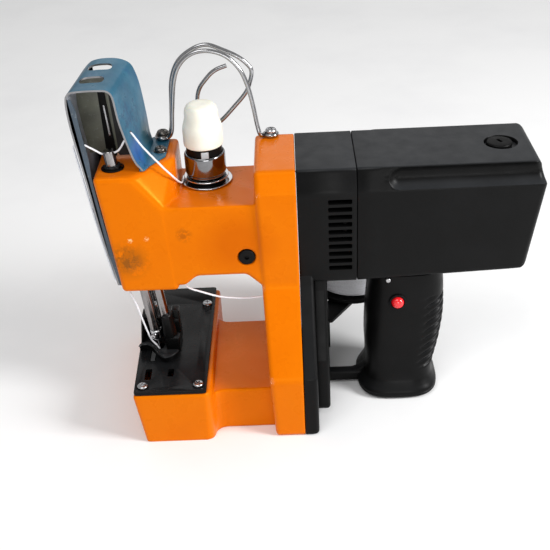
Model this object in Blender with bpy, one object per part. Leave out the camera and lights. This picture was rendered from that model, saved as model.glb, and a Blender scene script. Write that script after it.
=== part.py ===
"""Hand-held bag closing machine: a gun-shaped chain-stitch sewing head with its own motor.

Axes: X runs from the needle end (-X) to the motor end (+X), +Y is the side away from the push button,
+Z is up. The origin is on the floor, under the middle of the bed block. All sizes below are millimetres.
"""
import math

import bmesh
import bpy
from mathutils import Vector

MM = 0.001
GAP = 0.3

# Casting: pillar, arm, head, bed block and the neck between block and pillar.
PILLAR_REAR_X = 92.0
TOP_Z = 190.8
CHAMFER_Z = 175.9
CREASE_Z = 105.0
FLARE_Z = 49.0
TOP_HALF_Y = 30.7
SIDE_HALF_Y = 35.5
CREASE_HALF_Y = 33.7
BED_HALF_Y = 67.5
PILLAR_FRONT_X = {0.0: 71.0, FLARE_Z: 68.5, CREASE_Z: 66.0, CHAMFER_Z: 64.8, TOP_Z: 64.8}
PILLAR_HALF_Y = {0.0: BED_HALF_Y, FLARE_Z: BED_HALF_Y, CREASE_Z: CREASE_HALF_Y,
                 CHAMFER_Z: SIDE_HALF_Y, TOP_Z: TOP_HALF_Y}
ARM_NEAR_Y = -33.0
ARM_FAR_Y = 29.0
ARM_TOP_Z = 168.2
ARM_BOTTOM_Z = 114.8
HEAD_TOP_Z = 191.8
HEAD_BOTTOM_Z = 104.5
HEAD_LEAN = 0.1042
HEAD_TOP_X = -39.3
BLOCK_TOP_Z = 41.2
BLOCK_RIGHT_X = 27.8
BED_NEAR_Y = -68.3
BLOCK_LEFT_TOP_X = -27.2
BLOCK_LEFT_BOTTOM_X = -21.6
BLOCK_FLARE = 4.0
NECK_TOP_Z = 34.0
NECK_NEAR_Y = -55.0
NECK_FAR_Y = 31.0
NECK_FILLET = 8.0
COVER_THICK = 2.0

# Needle bar: it leans with the front of the machine.
NEEDLE_Y = -17.0
NEEDLE_LEAN = 0.1085
NEEDLE_FOOT_X = -6.9
NEEDLE_BAR_R = 4.0
PRESSER_OFFSET = 9.2
PRESSER_BAR_R = 3.5
PLATE_Z = 41.5
PLATE_THICK = 2.5

# Drive line.
SHAFT_Z = 24.0
SHAFT_R = 4.0
MOTOR_Z = 148.0
MOTOR_SHAFT_R = 4.0
PULLEY_X = (93.2, 99.2)
DRIVEN_PULLEY_R = 19.0
MOTOR_PULLEY_R = 7.0
BELT_THICK = 1.6
ROCKER_X = 57.0
ROCKER_Z = 129.0
STUD_Z = 119.0
ROD_X = 77.0
ROD_Z = 132.6

# Motor housings and handle.
CASE_REAR_X = 131.4
HOUSING_X = 131.7
HOUSING_BOTTOM_Z = 104.7
BARREL_R = 30.3
BRUSH_X = 228.5
BUTTON_X = 160.3
BUTTON_Z = 83.0

# Tension unit, guard screws, thread hanger and thread cone.
TENSION_X = 31.0
TENSION_Y = 8.0
GUARD_SCREWS = ((1.9, 4.0), (1.9, 24.0))
GUARD_NEAR_Y = -25.0
GUARD_FAR_Y = 20.0
WALL_Y = 1.4
HANGER_SCREW = (76.3, 26.0)
CONE_X = 134.0
CONE_Y = 73.0
PLATE_SCREWS = ((-20.4, -60.6), (18.5, -60.4), (19.0, 41.8), (-22.5, 43.0))

ORANGE = ((0.90, 0.23, 0.01), 0.35, 0.0)
BLACK = ((0.012, 0.012, 0.013), 0.5, 0.0)
BLACK_STEEL = ((0.02, 0.02, 0.022), 0.4, 0.6)
STEEL = ((0.62, 0.62, 0.62), 0.3, 1.0)
CHROME = ((0.78, 0.78, 0.79), 0.1, 1.0)
BLUE_FILM = ((0.06, 0.24, 0.36), 0.3, 0.3)
IVORY = ((0.88, 0.87, 0.80), 0.45, 0.0)
WHITE = ((0.85, 0.86, 0.88), 0.8, 0.0)
RED = ((0.80, 0.01, 0.015), 0.3, 0.0)
COPPER = ((0.72, 0.30, 0.12), 0.4, 0.9)
BRONZE = ((0.55, 0.38, 0.18), 0.4, 0.9)
RUBBER = ((0.015, 0.015, 0.015), 0.8, 0.0)


# ---------------------------------------------------------------- building blocks

def clear_scene():
    for obj in list(bpy.data.objects):
        bpy.data.objects.remove(obj)


def make_material(name, look):
    colour, roughness, metallic = look
    material = bpy.data.materials.new(name)
    material.use_nodes = True
    shader = material.node_tree.nodes["Principled BSDF"]
    shader.inputs["Base Color"].default_value = (*colour, 1.0)
    shader.inputs["Roughness"].default_value = roughness
    shader.inputs["Metallic"].default_value = metallic
    material.diffuse_color = (*colour, 1.0)
    return material


def add(name, bm, look=None, smooth_angle=35.0):
    """Makes an object from a bmesh in millimetres. With no look it is a cutter or a shape to join."""
    bmesh.ops.remove_doubles(bm, verts=bm.verts, dist=1e-4)
    bmesh.ops.recalc_face_normals(bm, faces=bm.faces)
    bmesh.ops.scale(bm, vec=(MM, MM, MM), verts=bm.verts)
    mesh = bpy.data.meshes.new(name)
    bm.to_mesh(mesh)
    bm.free()
    obj = bpy.data.objects.new(name, mesh)
    bpy.context.scene.collection.objects.link(obj)
    if look is None:
        obj.hide_render = True
        obj.display_type = "WIRE"
    else:
        mesh.materials.append(make_material(name, look))
        mesh.shade_smooth()
        mesh.set_sharp_from_angle(angle=math.radians(smooth_angle))
    return obj


def boolean(obj, operation, *others):
    for other in others:
        modifier = obj.modifiers.new(operation.title(), "BOOLEAN")
        modifier.operation = operation
        modifier.object = other
        modifier.solver = "EXACT"
    return obj


def cut(obj, *cutters):
    return boolean(obj, "DIFFERENCE", *cutters)


def join(obj, *others):
    return boolean(obj, "UNION", *others)


def loft(rings):
    """A closed skin through rings of (x, y, z) points, capped at both ends."""
    bm = bmesh.new()
    rows = [[bm.verts.new(point) for point in ring] for ring in rings]
    count = len(rows[0])
    for low, high in zip(rows, rows[1:]):
        for i in range(count):
            j = (i + 1) % count
            bm.faces.new((low[i], low[j], high[j], high[i]))
    bm.faces.new(rows[0])
    bm.faces.new(rows[-1])
    return bm


def prism(outline, low, high, axis="Z"):
    """An outline of (a, b) points pushed along an axis: (x, y) for Z, (x, z) for Y and (y, z) for X."""
    place = {
        "X": lambda a, b, c: (c, a, b),
        "Y": lambda a, b, c: (a, c, b),
        "Z": lambda a, b, c: (a, b, c),
    }[axis]
    return loft([[place(a, b, c) for a, b in outline] for c in (low, high)])


def box(low, high):
    return prism([(low[0], low[1]), (high[0], low[1]), (high[0], high[1]), (low[0], high[1])], low[2], high[2])


def bevel(bm, width, segments=2, keep=None, min_angle=20.0):
    """Rounds the edges sharper than min_angle, except those whose ends keep() both accept."""
    bmesh.ops.recalc_face_normals(bm, faces=bm.faces)
    edges = []
    for edge in bm.edges:
        if edge.calc_face_angle(0.0) < math.radians(min_angle):
            continue
        if keep and all(keep(vert.co) for vert in edge.verts):
            continue
        edges.append(edge)
    bmesh.ops.bevel(bm, geom=edges, offset=width, segments=segments, profile=0.5, affect="EDGES",
                    clamp_overlap=True)
    return bm


def circle(radius, count, centre=(0.0, 0.0), start=0.0, sweep=360.0):
    steps = count if sweep == 360.0 else count - 1
    points = []
    for i in range(count):
        angle = math.radians(start + sweep * i / steps)
        points.append((centre[0] + radius * math.cos(angle), centre[1] + radius * math.sin(angle)))
    return points


def turned(profile, base, direction=(0, 0, 1), count=20):
    """Turns (radius, height) points about a line. A profile that starts and ends on the axis is used as it
    stands; any other is a closed loop, which makes a ring or a cup."""
    axis = Vector(direction).normalized()
    side = axis.orthogonal().normalized()
    third = axis.cross(side)
    base = Vector(base)
    solid = profile[0][0] == 0.0 and profile[-1][0] == 0.0
    bm = bmesh.new()
    rows = []
    for radius, height in profile:
        if radius == 0.0:
            rows.append([bm.verts.new(base + axis * height)])
            continue
        row = []
        for i in range(count):
            angle = 2.0 * math.pi * i / count
            row.append(bm.verts.new(base + axis * height
                                    + side * radius * math.cos(angle) + third * radius * math.sin(angle)))
        rows.append(row)
    pairs = list(zip(rows, rows[1:]))
    if not solid:
        pairs.append((rows[-1], rows[0]))
    for low, high in pairs:
        if len(low) == 1 and len(high) == 1:
            continue
        for i in range(count):
            j = (i + 1) % count
            corners = []
            for vert in (low[i % len(low)], low[j % len(low)], high[j % len(high)], high[i % len(high)]):
                if vert not in corners:
                    corners.append(vert)
            bm.faces.new(corners)
    return bm


def rod(radius, base, direction, low, high, count=20):
    return turned([(0.0, low), (radius, low), (radius, high), (0.0, high)], base, direction, count)


def ring(outer, inner, base, direction, low, high, count=20):
    return turned([(inner, low), (outer, low), (outer, high), (inner, high)], base, direction, count)


def smooth_path(points, per_span):
    """Points on a Catmull-Rom curve through the given ones."""
    ends = [2 * Vector(points[0]) - Vector(points[1])]
    ends += [Vector(point) for point in points]
    ends.append(2 * Vector(points[-1]) - Vector(points[-2]))
    path = []
    for a, b, c, d in zip(ends, ends[1:], ends[2:], ends[3:]):
        for i in range(per_span):
            t = i / per_span
            path.append(0.5 * (2 * b + (c - a) * t + (2 * a - 5 * b + 4 * c - d) * t ** 2
                               + (3 * b - a - 3 * c + d) * t ** 3))
    path.append(ends[-2])
    return path


def wire(name, path, radius, look, resolution=2):
    """A round wire or thread along a list of points."""
    curve = bpy.data.curves.new(name, "CURVE")
    curve.dimensions = "3D"
    curve.bevel_depth = radius * MM
    curve.bevel_resolution = resolution
    curve.use_fill_caps = True
    spline = curve.splines.new("POLY")
    spline.points.add(len(path) - 1)
    for point, place in zip(spline.points, path):
        point.co = (*(Vector(place) * MM), 1.0)
    curve.materials.append(make_material(name, look))
    obj = bpy.data.objects.new(name, curve)
    bpy.context.scene.collection.objects.link(obj)
    return obj


def set_pivot(obj, place):
    """Puts the object's origin on its joint's axis without moving its shape."""
    offset = Vector(place) * MM
    if obj.type == "MESH":
        for vert in obj.data.vertices:
            vert.co -= offset
    else:
        for point in obj.data.splines[0].points:
            point.co = (*(Vector(point.co[:3]) - offset), 1.0)
    obj.location = offset


# ---------------------------------------------------------------- shared outlines

def needle_point(z, offset=0.0, y=NEEDLE_Y):
    """A point of the leaning needle line at height z."""
    return (NEEDLE_FOOT_X + offset - NEEDLE_LEAN * z, y, z)


NEEDLE_AXIS = Vector((-NEEDLE_LEAN, 0.0, 1.0)).normalized()


def along_needle(z):
    """Distance up the leaning line from its foot on the floor to height z."""
    return z / NEEDLE_AXIS.z


def head_left_x(z):
    return HEAD_TOP_X + (HEAD_TOP_Z - z) * HEAD_LEAN


def tower_rings(front_x, rear_x, levels, inset=0.0):
    """Rectangles of the pillar's flared outline at each (z, half width) level."""
    rings = []
    for z, half in levels:
        front = front_x(z) if callable(front_x) else front_x
        half -= inset
        rings.append([(front, -half, z), (rear_x, -half, z), (rear_x, half, z), (front, half, z)])
    return rings


def pillar_front(z):
    """The pillar's front face leans a little: straight lines between its known heights."""
    heights = sorted(PILLAR_FRONT_X)
    for low, high in zip(heights, heights[1:]):
        if z <= high:
            share = (z - low) / (high - low)
            return PILLAR_FRONT_X[low] + share * (PILLAR_FRONT_X[high] - PILLAR_FRONT_X[low])
    return PILLAR_FRONT_X[heights[-1]]


def pillar_half(z):
    heights = sorted(PILLAR_HALF_Y)
    for low, high in zip(heights, heights[1:]):
        if z <= high:
            share = (z - low) / (high - low)
            return PILLAR_HALF_Y[low] + share * (PILLAR_HALF_Y[high] - PILLAR_HALF_Y[low])
    return PILLAR_HALF_Y[heights[-1]]


def pillar_levels(low, high):
    """(z, half width) pairs of the pillar between two heights."""
    inside = [z for z in sorted(PILLAR_HALF_Y) if low < z < high]
    return [(z, pillar_half(z)) for z in [low, *inside, high]]


def cover_outline(inset):
    """Plan outline of the bottom opening: the bed block and the neck."""
    return [(-17.0 + inset, -50.0 + inset), (21.0 - inset, -50.0 + inset), (21.0 - inset, -46.0 + inset),
            (80.0 - inset, -46.0 + inset), (80.0 - inset, 22.0 - inset), (21.0 - inset, 22.0 - inset),
            (21.0 - inset, 38.0 - inset), (-17.0 + inset, 38.0 - inset)]


# ---------------------------------------------------------------- casting and bed

def make_casting():
    def at_rear(co):
        return co.x > PILLAR_REAR_X - 0.01

    pillar = loft(tower_rings(pillar_front, PILLAR_REAR_X, pillar_levels(0.0, TOP_Z)))
    casting = add("frame_casting", bevel(pillar, 2.5, 2, at_rear), ORANGE)

    arm = prism([(-10.0, 108.0), (13.8, 107.8), (22.0, ARM_BOTTOM_Z), (56.1, ARM_BOTTOM_Z), (67.0, 104.0),
                 (75.0, 104.0), (75.0, ARM_TOP_Z), (-10.0, ARM_TOP_Z)], ARM_NEAR_Y + 0.2, ARM_FAR_Y - 0.2, "Y")
    arm = add("arm_body", bevel(arm, 2.5, 2, lambda co: co.x > 74.9 or co.x < -9.9))

    def head_ring(z, corners):
        left = head_left_x(z)
        return [(left, ARM_NEAR_Y, z), *[(x, y, z) for x, y in corners], (left, ARM_FAR_Y, z)]

    head = loft([head_ring(HEAD_BOTTOM_Z, ((9.0, ARM_NEAR_Y), (10.0, -10.0), (10.0, ARM_FAR_Y))),
                 head_ring(ARM_TOP_Z, ((5.6, ARM_NEAR_Y), (12.4, -14.0), (12.4, ARM_FAR_Y))),
                 head_ring(HEAD_TOP_Z, ((-14.4, ARM_NEAR_Y), (12.0, -4.0), (12.0, ARM_FAR_Y)))])
    head = add("head_body", bevel(head, 2.5, 2))

    block = loft([[(left, BED_NEAR_Y, z), (BLOCK_RIGHT_X - 3.4, BED_NEAR_Y, z),
                   (BLOCK_RIGHT_X, BED_NEAR_Y + 3.4, z), (BLOCK_RIGHT_X, BED_HALF_Y, z),
                   (left - BLOCK_FLARE, BED_HALF_Y, z)]
                  for left, z in ((BLOCK_LEFT_BOTTOM_X, 0.0), (BLOCK_LEFT_TOP_X, BLOCK_TOP_Z))])
    block = add("block_body", bevel(block, 2.0, 2, lambda co: co.z < 0.01))

    fillet_x = BLOCK_RIGHT_X + NECK_FILLET
    near_fillet = circle(NECK_FILLET, 5, (fillet_x, NECK_NEAR_Y - NECK_FILLET), 180.0, -90.0)
    far_fillet = circle(NECK_FILLET, 5, (fillet_x, NECK_FAR_Y + NECK_FILLET), 270.0, -90.0)
    neck = prism([(15.0, NECK_NEAR_Y - NECK_FILLET), *near_fillet, (76.0, NECK_NEAR_Y), (76.0, NECK_FAR_Y),
                  *far_fillet, (15.0, NECK_FAR_Y + NECK_FILLET)], 0.0, NECK_TOP_Z)
    neck = add("neck_body", neck)
    join(casting, arm, head, block, neck)

    cutters = [
        add("pillar_hollow_upper", loft(tower_rings(lambda z: pillar_front(z) + 4.0, 96.0,
                                                    pillar_levels(46.0, 186.0), 4.0))),
        add("pillar_hollow_lower", loft(tower_rings(73.5, 81.5, pillar_levels(5.0, 50.0), 5.0))),
        add("arm_hollow", prism([(-26.5, 109.0), (5.0, 109.0), (19.0, 118.6), (72.0, 118.6), (72.0, 164.0),
                                 (-32.2, 164.0)], -28.5, 24.5, "Y")),
        add("head_hollow", loft([[(left, -28.5, z), (-17.0, -28.5, z), (2.0, -9.0, z), (2.0, 24.5, z),
                                  (left, 24.5, z)] for left, z in ((-31.6, 158.0), (-34.6, 187.0))])),
        add("block_hollow", prism([(-17.5, 2.0), (17.5, 2.0), (17.5, 50.0), (-21.5, 50.0), (-21.5, 30.0),
                                   (-17.5, 24.0)], -51.0, 38.5, "Y")),
        add("neck_hollow", box((26.0, -49.0, 2.0), (80.0, 25.0, 30.0))),
        add("cover_recess", prism(cover_outline(0.0), -1.0, COVER_THICK + GAP)),
        add("front_bearing_seat", rod(8.3, (0, 0, SHAFT_Z), (1, 0, 0), 15.0, 28.0)),
        add("rear_bearing_seat", rod(8.3, (0, 0, SHAFT_Z), (1, 0, 0), 80.0, 95.0)),
        add("upper_bush_seat", rod(6.3, needle_point(0), NEEDLE_AXIS, along_needle(185.5), along_needle(200))),
        add("lower_bush_seat", rod(5.3, needle_point(0), NEEDLE_AXIS, along_needle(98), along_needle(114))),
        add("presser_bore", rod(PRESSER_BAR_R + 0.1, needle_point(0, PRESSER_OFFSET), NEEDLE_AXIS,
                                along_needle(98), along_needle(112))),
        add("tension_bore", rod(3.3, (TENSION_X, TENSION_Y, 0), (0, 0, 1), 160.0, 172.0, 12)),
        add("pivot_bore", turned([(0, -40.0), (6.0, -40.0), (6.0, -29.5), (4.3, -29.5), (4.3, 40.0), (0, 40.0)],
                                 (ROCKER_X, 0, ROCKER_Z), (0, 1, 0))),
        add("hanger_screw_bore", rod(1.9, (*HANGER_SCREW, 0), (0, 0, 1), 180.0, 195.0, 12)),
    ]
    for i, (x, y) in enumerate(GUARD_SCREWS):
        cutters.append(add(f"guard_screw_bore_{i + 1}", rod(1.9, (x, y, 0), (0, 0, 1), 180.0, 195.0, 12)))
    for i, (x, y) in enumerate(PLATE_SCREWS):
        cutters.append(add(f"plate_screw_bore_{i + 1}", rod(1.9, (x, y, 0), (0, 0, 1), 30.0, 45.0, 12)))
    cut(casting, *cutters)


def make_bed():
    add("bed_cover", prism(cover_outline(GAP), 0.0, COVER_THICK), STEEL)
    add("arm_plug", turned([(0, 0), (5.4, 0), (5.6, 0.6), (5.6, 3.2), (0, 3.2)],
                           (ROCKER_X, ARM_NEAR_Y - 0.2, ROCKER_Z), (0, 1, 0)), BLACK)

    corners = []
    for x, y, start in ((24.9, 66.2, 0), (-29.6, 66.2, 90), (-26.2, -67.4, 180), (24.3, -67.4, 270)):
        sign_x = 1 if x > 0 else -1
        sign_y = 1 if y > 0 else -1
        corners += circle(2.0, 4, (x - 2.0 * sign_x, y - 2.0 * sign_y), start, 90.0)
    plate = add("needle_plate", prism(corners, PLATE_Z, PLATE_Z + PLATE_THICK), BLACK_STEEL)
    cutters = [add(f"plate_slot_{i + 1}", box((x - w, low, 38.0), (x + w, high, 48.0)))
               for i, (x, w, low, high) in enumerate(((-16.6, 2.1, -31.5, 8.0), (-6.6, 2.1, -31.5, 8.0),
                                                      (-18.0, 2.4, -53.0, -40.5), (-2.0, 2.2, -50.0, -41.0)))]
    cutters.append(add("needle_slot", box((-12.9, -21.0, 38.0), (-10.3, -13.0, 48.0))))
    cutters += [add(f"plate_screw_hole_{i + 1}", rod(2.4, (x, y, 0), (0, 0, 1), 38.0, 48.0, 12))
                for i, (x, y) in enumerate(PLATE_SCREWS)]
    cut(plate, *cutters)
    for i, (x, y) in enumerate(PLATE_SCREWS):
        make_screw(f"plate_screw_{i + 1}", (x, y, PLATE_Z + PLATE_THICK + GAP), 3.6, 1.5, 1.6, 11.0)


def make_screw(name, base, head_r, head_h, shank_r, length):
    """A pan-head machine screw standing on its seat, with a cross-cut recess in its head."""
    screw = add(name, turned([(0, -length), (shank_r, -length), (shank_r, 0), (head_r, 0),
                              (head_r, head_h * 0.5), (head_r * 0.72, head_h), (0, head_h)], base,
                             (0, 0, 1), 16), STEEL)
    x, y, z = base
    blades = [add(f"{name}_recess_{i}", box((x - a, y - b, z + head_h * 0.35), (x + a, y + b, z + head_h + 1)))
              for i, (a, b) in enumerate(((head_r * 0.5, 0.45), (0.45, head_r * 0.5)))]
    cut(screw, *blades)
    return screw


# ---------------------------------------------------------------- needle end

def make_needle_group():
    origin = needle_point(0)
    bar = add("needle_bar", rod(NEEDLE_BAR_R, origin, NEEDLE_AXIS, along_needle(63.5), along_needle(205.0)), STEEL)
    collar = add("drive_collar", rod(5.0, origin, NEEDLE_AXIS, along_needle(113.5), along_needle(124.5)))
    stud = add("drive_stud", rod(2.5, needle_point(STUD_Z), (0, 1, 0), 0.0, 12.0, 16))
    thread_eye = add("take_up_eye", rod(1.2, needle_point(201.0), (1, 0, 0), -8.0, 8.0, 8))
    join(bar, collar, stud)
    cut(bar, thread_eye)

    clamp = add("needle_clamp", turned(
        [(0, along_needle(54.5)), (3.2, along_needle(54.5)), (4.3, along_needle(56.5)),
         (4.3, along_needle(63.2)), (0, along_needle(63.2))], origin, NEEDLE_AXIS), STEEL)
    clamp_screw = add("clamp_screw_body", rod(1.8, needle_point(59.6), (-0.3, -1, 0), 0.0, 6.6, 12))
    join(clamp, clamp_screw)
    cut(clamp, add("needle_socket", rod(1.35, origin, NEEDLE_AXIS, along_needle(50.0), along_needle(61.5), 12)))
    add("needle", turned(
        [(0, along_needle(30.0)), (0.35, along_needle(32.0)), (0.9, along_needle(36.0)),
         (1.0, along_needle(46.0)), (1.0, along_needle(61.0)), (0, along_needle(61.0))],
        origin, NEEDLE_AXIS, 12), STEEL)
    for name, radius, low, high in (("needle_bar_bush_upper", 6.0, 187.2, 194.3),
                                    ("needle_bar_bush_lower", 5.2, 103.6, 110.5)):
        add(name, ring(radius, NEEDLE_BAR_R + 0.1, origin, NEEDLE_AXIS, along_needle(low), along_needle(high)), BRONZE)

    foot_origin = needle_point(0, PRESSER_OFFSET)
    add("presser_bar", turned(
        [(0, along_needle(62.0)), (PRESSER_BAR_R, along_needle(62.0)), (PRESSER_BAR_R, along_needle(122.0)),
         (3.8, along_needle(122.0)), (3.8, along_needle(126.0)), (2.2, along_needle(126.0)),
         (2.2, along_needle(177.0)), (0, along_needle(177.0))], foot_origin, NEEDLE_AXIS), STEEL)
    make_presser_foot(foot_origin)
    turns, coil_r, low, high = 7, 3.2, along_needle(126.9), along_needle(185.9)
    steps = turns * 8
    side = Vector((0, 1, 0))
    across = NEEDLE_AXIS.cross(side)
    path = []
    for i in range(steps + 1):
        angle = 2 * math.pi * turns * i / steps
        path.append(Vector(foot_origin) + NEEDLE_AXIS * (low + (high - low) * i / steps)
                    + coil_r * (side * math.cos(angle) + across * math.sin(angle)))
    wire("presser_spring", path, 0.5, STEEL)


def make_presser_foot(foot_origin):
    sole = loft([[(-26.4, -20.0, z), (-22.0, -17.5, z), (-11.5, -30.0, z), (-5.0, -33.5, z), (1.5, -28.5, z),
                  (1.5, 2.0, z), (-26.4, 2.0, z)] for z in (45.3, 47.3)])
    foot = add("presser_foot", sole, BLACK_STEEL)
    fold = [(-26.4, -20.5), (-22.0, -18.0), (-11.5, -30.5), (-5.0, -34.0), (1.5, -29.0)]
    lip = [(-27.4, -25.2), (-22.0, -22.6), (-11.0, -35.4), (-5.0, -38.9), (2.4, -33.4)]
    toe = loft([[(x, y, 45.6) for x, y in fold] + [(x, y + 1.4, 47.2) for x, y in reversed(fold)],
                [(x, y, 51.4) for x, y in lip] + [(x, y + 1.4, 52.4) for x, y in reversed(lip)]])
    shank = add("foot_shank", bevel(box((-7.4, -22.5, 46.5), (3.6, -5.0, 60.0)), 1.5))
    sleeve = add("foot_sleeve", rod(5.8, foot_origin, NEEDLE_AXIS, along_needle(56.0), along_needle(76.0)))
    lug = add("foot_screw_lug", bevel(box((-2.5, -16.0, 58.0), (4.2, -7.5, 74.0)), 1.2))
    wall = add("foot_wall", box((-26.2, -12.0, 46.5), (-24.8, 1.6, 66.0)))
    bridge = add("foot_bridge", bevel(box((-25.6, -3.0, 46.6), (3.0, 1.4, 57.0)), 1.0))
    join(foot, add("foot_toe", toe), shank, sleeve, lug, wall, bridge)
    cut(foot,
        add("foot_bore", rod(PRESSER_BAR_R + 0.3, foot_origin, NEEDLE_AXIS, along_needle(61.5),
                             along_needle(80.0))),
        add("foot_needle_slot", box((-30.0, -21.8, 47.4), (-7.5, -12.2, 80.0))),
        add("foot_needle_hole", box((-17.4, -20.6, 40.0), (-9.4, -14.0, 50.0))))


def make_feed_and_looper():
    dog = add("feed_dog", box((-18.1, -30.0, 31.5), (-15.1, 6.0, 37.0)), STEEL)
    bars = [add("feed_bar_right", box((-8.1, -30.0, 31.5), (-5.1, 6.0, 37.0))),
            add("feed_cross_piece", box((-18.1, 0.0, 31.2), (-5.1, 12.0, 36.7)))]
    for side, x in (("left", -18.1), ("right", -8.1)):
        teeth = [(-30.0, 36.0)]
        for i in range(9):
            y = -30.0 + 3.0 * i
            teeth += [(y, 43.3), (y + 1.5, 44.6)]
        teeth += [(-3.0, 43.3), (-3.0, 36.0)]
        bars.append(add(f"feed_teeth_{side}", prism(teeth, x, x + 3.0, "X")))
    join(dog, *bars)

    add("looper_shaft", rod(3.0, (6.0, 0, 11.0), (0, 1, 0), -48.5, -5.0, 16), STEEL)
    arm = add("looper", ring(6.0, 3.3, (6.0, 0, 11.0), (0, 1, 0), -25.5, -19.2, 20), STEEL)
    blade = prism([(1.5, 13.0), (4.5, 15.5), (-2.0, 24.5), (-14.5, 28.6), (-15.0, 27.6), (-5.0, 22.8)],
                  -21.6, -19.4, "Y")
    join(arm, add("looper_blade", blade))


def make_guard():
    """Bent sheet over the needle bar: its left leg runs down the head's front face, its right leg ends
    in a foot screwed to the top of the head."""
    sheet = 1.2

    def offset(line, distance):
        result = []
        for i, point in enumerate(line):
            before = Vector(line[max(i - 1, 0)])
            after = Vector(line[min(i + 1, len(line) - 1)])
            here = Vector(point)
            first = (here - before).normalized() if i else (after - here).normalized()
            second = (after - here).normalized() if i < len(line) - 1 else first
            normal = Vector((-(first + second).y, (first + second).x)).normalized()
            scale = distance / max(0.3, normal.dot(Vector((-first.y, first.x))))
            result.append(here + normal * scale)
        return result

    near = [(-34.4, 106.0), (-40.9, 146.5), (-45.6, 190.0), (-49.0, 218.0), (-50.3, 234.0), (-50.0, 243.0),
            (-48.7, 246.3), (-46.6, 248.1), (-44.0, 248.6), (-36.2, 249.0), (-26.0, 248.8), (-22.6, 247.9),
            (-20.4, 245.8), (-19.2, 241.5), (-17.4, 226.0), (-12.7, 206.0), (-10.2, 198.6), (-7.8, 195.2),
            (-6.4, 192.9)]
    far = [(-34.4, 106.0), (-40.9, 146.5), (-45.4, 190.0), (-48.4, 218.0), (-48.9, 233.0), (-46.2, 244.4),
           (-43.4, 248.4), (-40.2, 251.3), (-37.2, 252.8), (-31.5, 253.8), (-23.9, 253.7), (-18.3, 252.4),
           (-13.9, 249.7), (-11.5, 245.0), (-9.0, 234.3), (-7.0, 214.6), (-6.3, 203.0), (-5.4, 197.4),
           (-4.5, 192.9)]
    rings = []
    for y, line in ((GUARD_NEAR_Y, near), (GUARD_FAR_Y, far)):
        inner = offset(line, -sheet)
        rings.append([(x, y, z) for x, z in line] + [(x, y, z) for x, z in reversed(inner)])
    sheet_body = loft(rings)
    bmesh.ops.triangulate(sheet_body, faces=sheet_body.faces)
    guard = add("needle_bar_guard", sheet_body, BLUE_FILM)
    foot = prism([(-9.4, -24.8), (-6.0, -24.8), (-3.0, -17.0), (0.0, -12.4), (6.0, -4.0), (6.5, 28.5),
                  (-6.0, 28.5), (-7.4, 19.8)], HEAD_TOP_Z + GAP, HEAD_TOP_Z + GAP + sheet)
    share = (WALL_Y - GUARD_NEAR_Y) / (GUARD_FAR_Y - GUARD_NEAR_Y)
    middle = [Vector(a).lerp(Vector(b), share) for a, b in zip(near, far)]
    rim = [(p.x, p.y) for p in offset(middle, -0.6 * sheet) if p.y > HEAD_TOP_Z]
    back = prism([(rim[0][0] + 1.6, HEAD_TOP_Z + GAP + 0.6), *rim], WALL_Y - 0.6, WALL_Y + 0.6, "Y")
    join(guard, add("guard_foot", foot), add("guard_back", back))
    ovals = []
    for i, (x, y) in enumerate(((-31.4, 7.6), (-34.3, -10.4))):
        outline = circle(4.4, 7, (x + 3.5, y), -90.0, 180.0) + circle(4.4, 7, (x - 3.5, y), 90.0, 180.0)
        ovals.append(add(f"guard_window_{i + 1}", prism(outline, 235.0, 260.0)))
    holes = [add(f"guard_foot_hole_{i + 1}", rod(1.9, (x, y, 0), (0, 0, 1), 188.0, 196.0, 12))
             for i, (x, y) in enumerate(GUARD_SCREWS)]
    holes.append(add("guard_thread_hole", rod(1.5, (-13.2, -14.8, 215.2), (1, 0, 0), -4.0, 4.0, 10)))
    cut(guard, *holes, *ovals)
    seat = HEAD_TOP_Z + GAP + sheet + GAP
    make_screw("guard_screw_near", (*GUARD_SCREWS[0], seat), 4.0, 2.4, 1.6, 9.0)
    make_screw("guard_screw_far", (*GUARD_SCREWS[1], seat + 3.3), 4.2, 2.6, 1.6, 12.0)


def make_hanger():
    """One chromed wire: a loop on the pillar screw, an arch to the guard screw, and back to a thread eye."""
    wire_r = 1.5
    seat = TOP_Z + GAP + wire_r
    guard_x, guard_y = GUARD_SCREWS[1]
    low_z = HEAD_TOP_Z + 2 * GAP + 1.2 + wire_r
    screw_x, screw_y = HANGER_SCREW
    loop = [(x, y, seat) for x, y in circle(4.0, 7, HANGER_SCREW, 150.0, -290.0)]
    front = [(69.4, 21.4, 193.9), (67.4, 21.6, 201.0), (65.4, 23.0, 214.0), (62.4, 24.0, 228.5),
             (57.5, 24.0, 241.0), (48.8, 24.0, 250.3), (37.5, 24.0, 254.2), (27.0, 24.0, 252.8),
             (18.6, 23.5, 246.4), (13.6, 23.0, 235.4), (10.4, 22.0, 214.5), (8.6, 21.0, 199.5)]
    turn = [(x, y, low_z) for x, y in circle(4.2, 7, (guard_x, guard_y), -40.0, -280.0)]
    back = [(7.6, 28.6, 199.0), (9.0, 31.0, 214.5), (10.6, 33.0, 232.0), (16.0, 33.0, 244.6),
            (25.6, 33.0, 252.4), (36.0, 33.0, 255.4), (46.8, 33.0, 252.8), (56.4, 33.0, 247.6),
            (63.0, 33.0, 241.2), (65.2, 33.0, 236.0), (64.0, 33.0, 229.0)]
    eye = [(60.4, 33.0, 220.6), (51.0, 33.0, 209.9), (42.4, 33.0, 201.2), (36.4, 32.4, 198.0),
           (30.8, 31.6, 201.8), (27.8, 30.8, 210.5), (27.4, 30.0, 219.4), (29.6, 30.0, 226.6),
           (33.7, 30.0, 232.0), (38.1, 30.0, 236.6), (42.6, 30.0, 239.4), (49.6, 30.0, 241.8)]
    path = smooth_path(loop[::-1] + front + turn + back + eye, 2)
    wire("wire_hanger", path, wire_r, CHROME, 2)
    make_screw("hanger_screw", (screw_x, screw_y, seat + wire_r + GAP), 3.6, 2.4, 1.6, 11.0)


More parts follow.
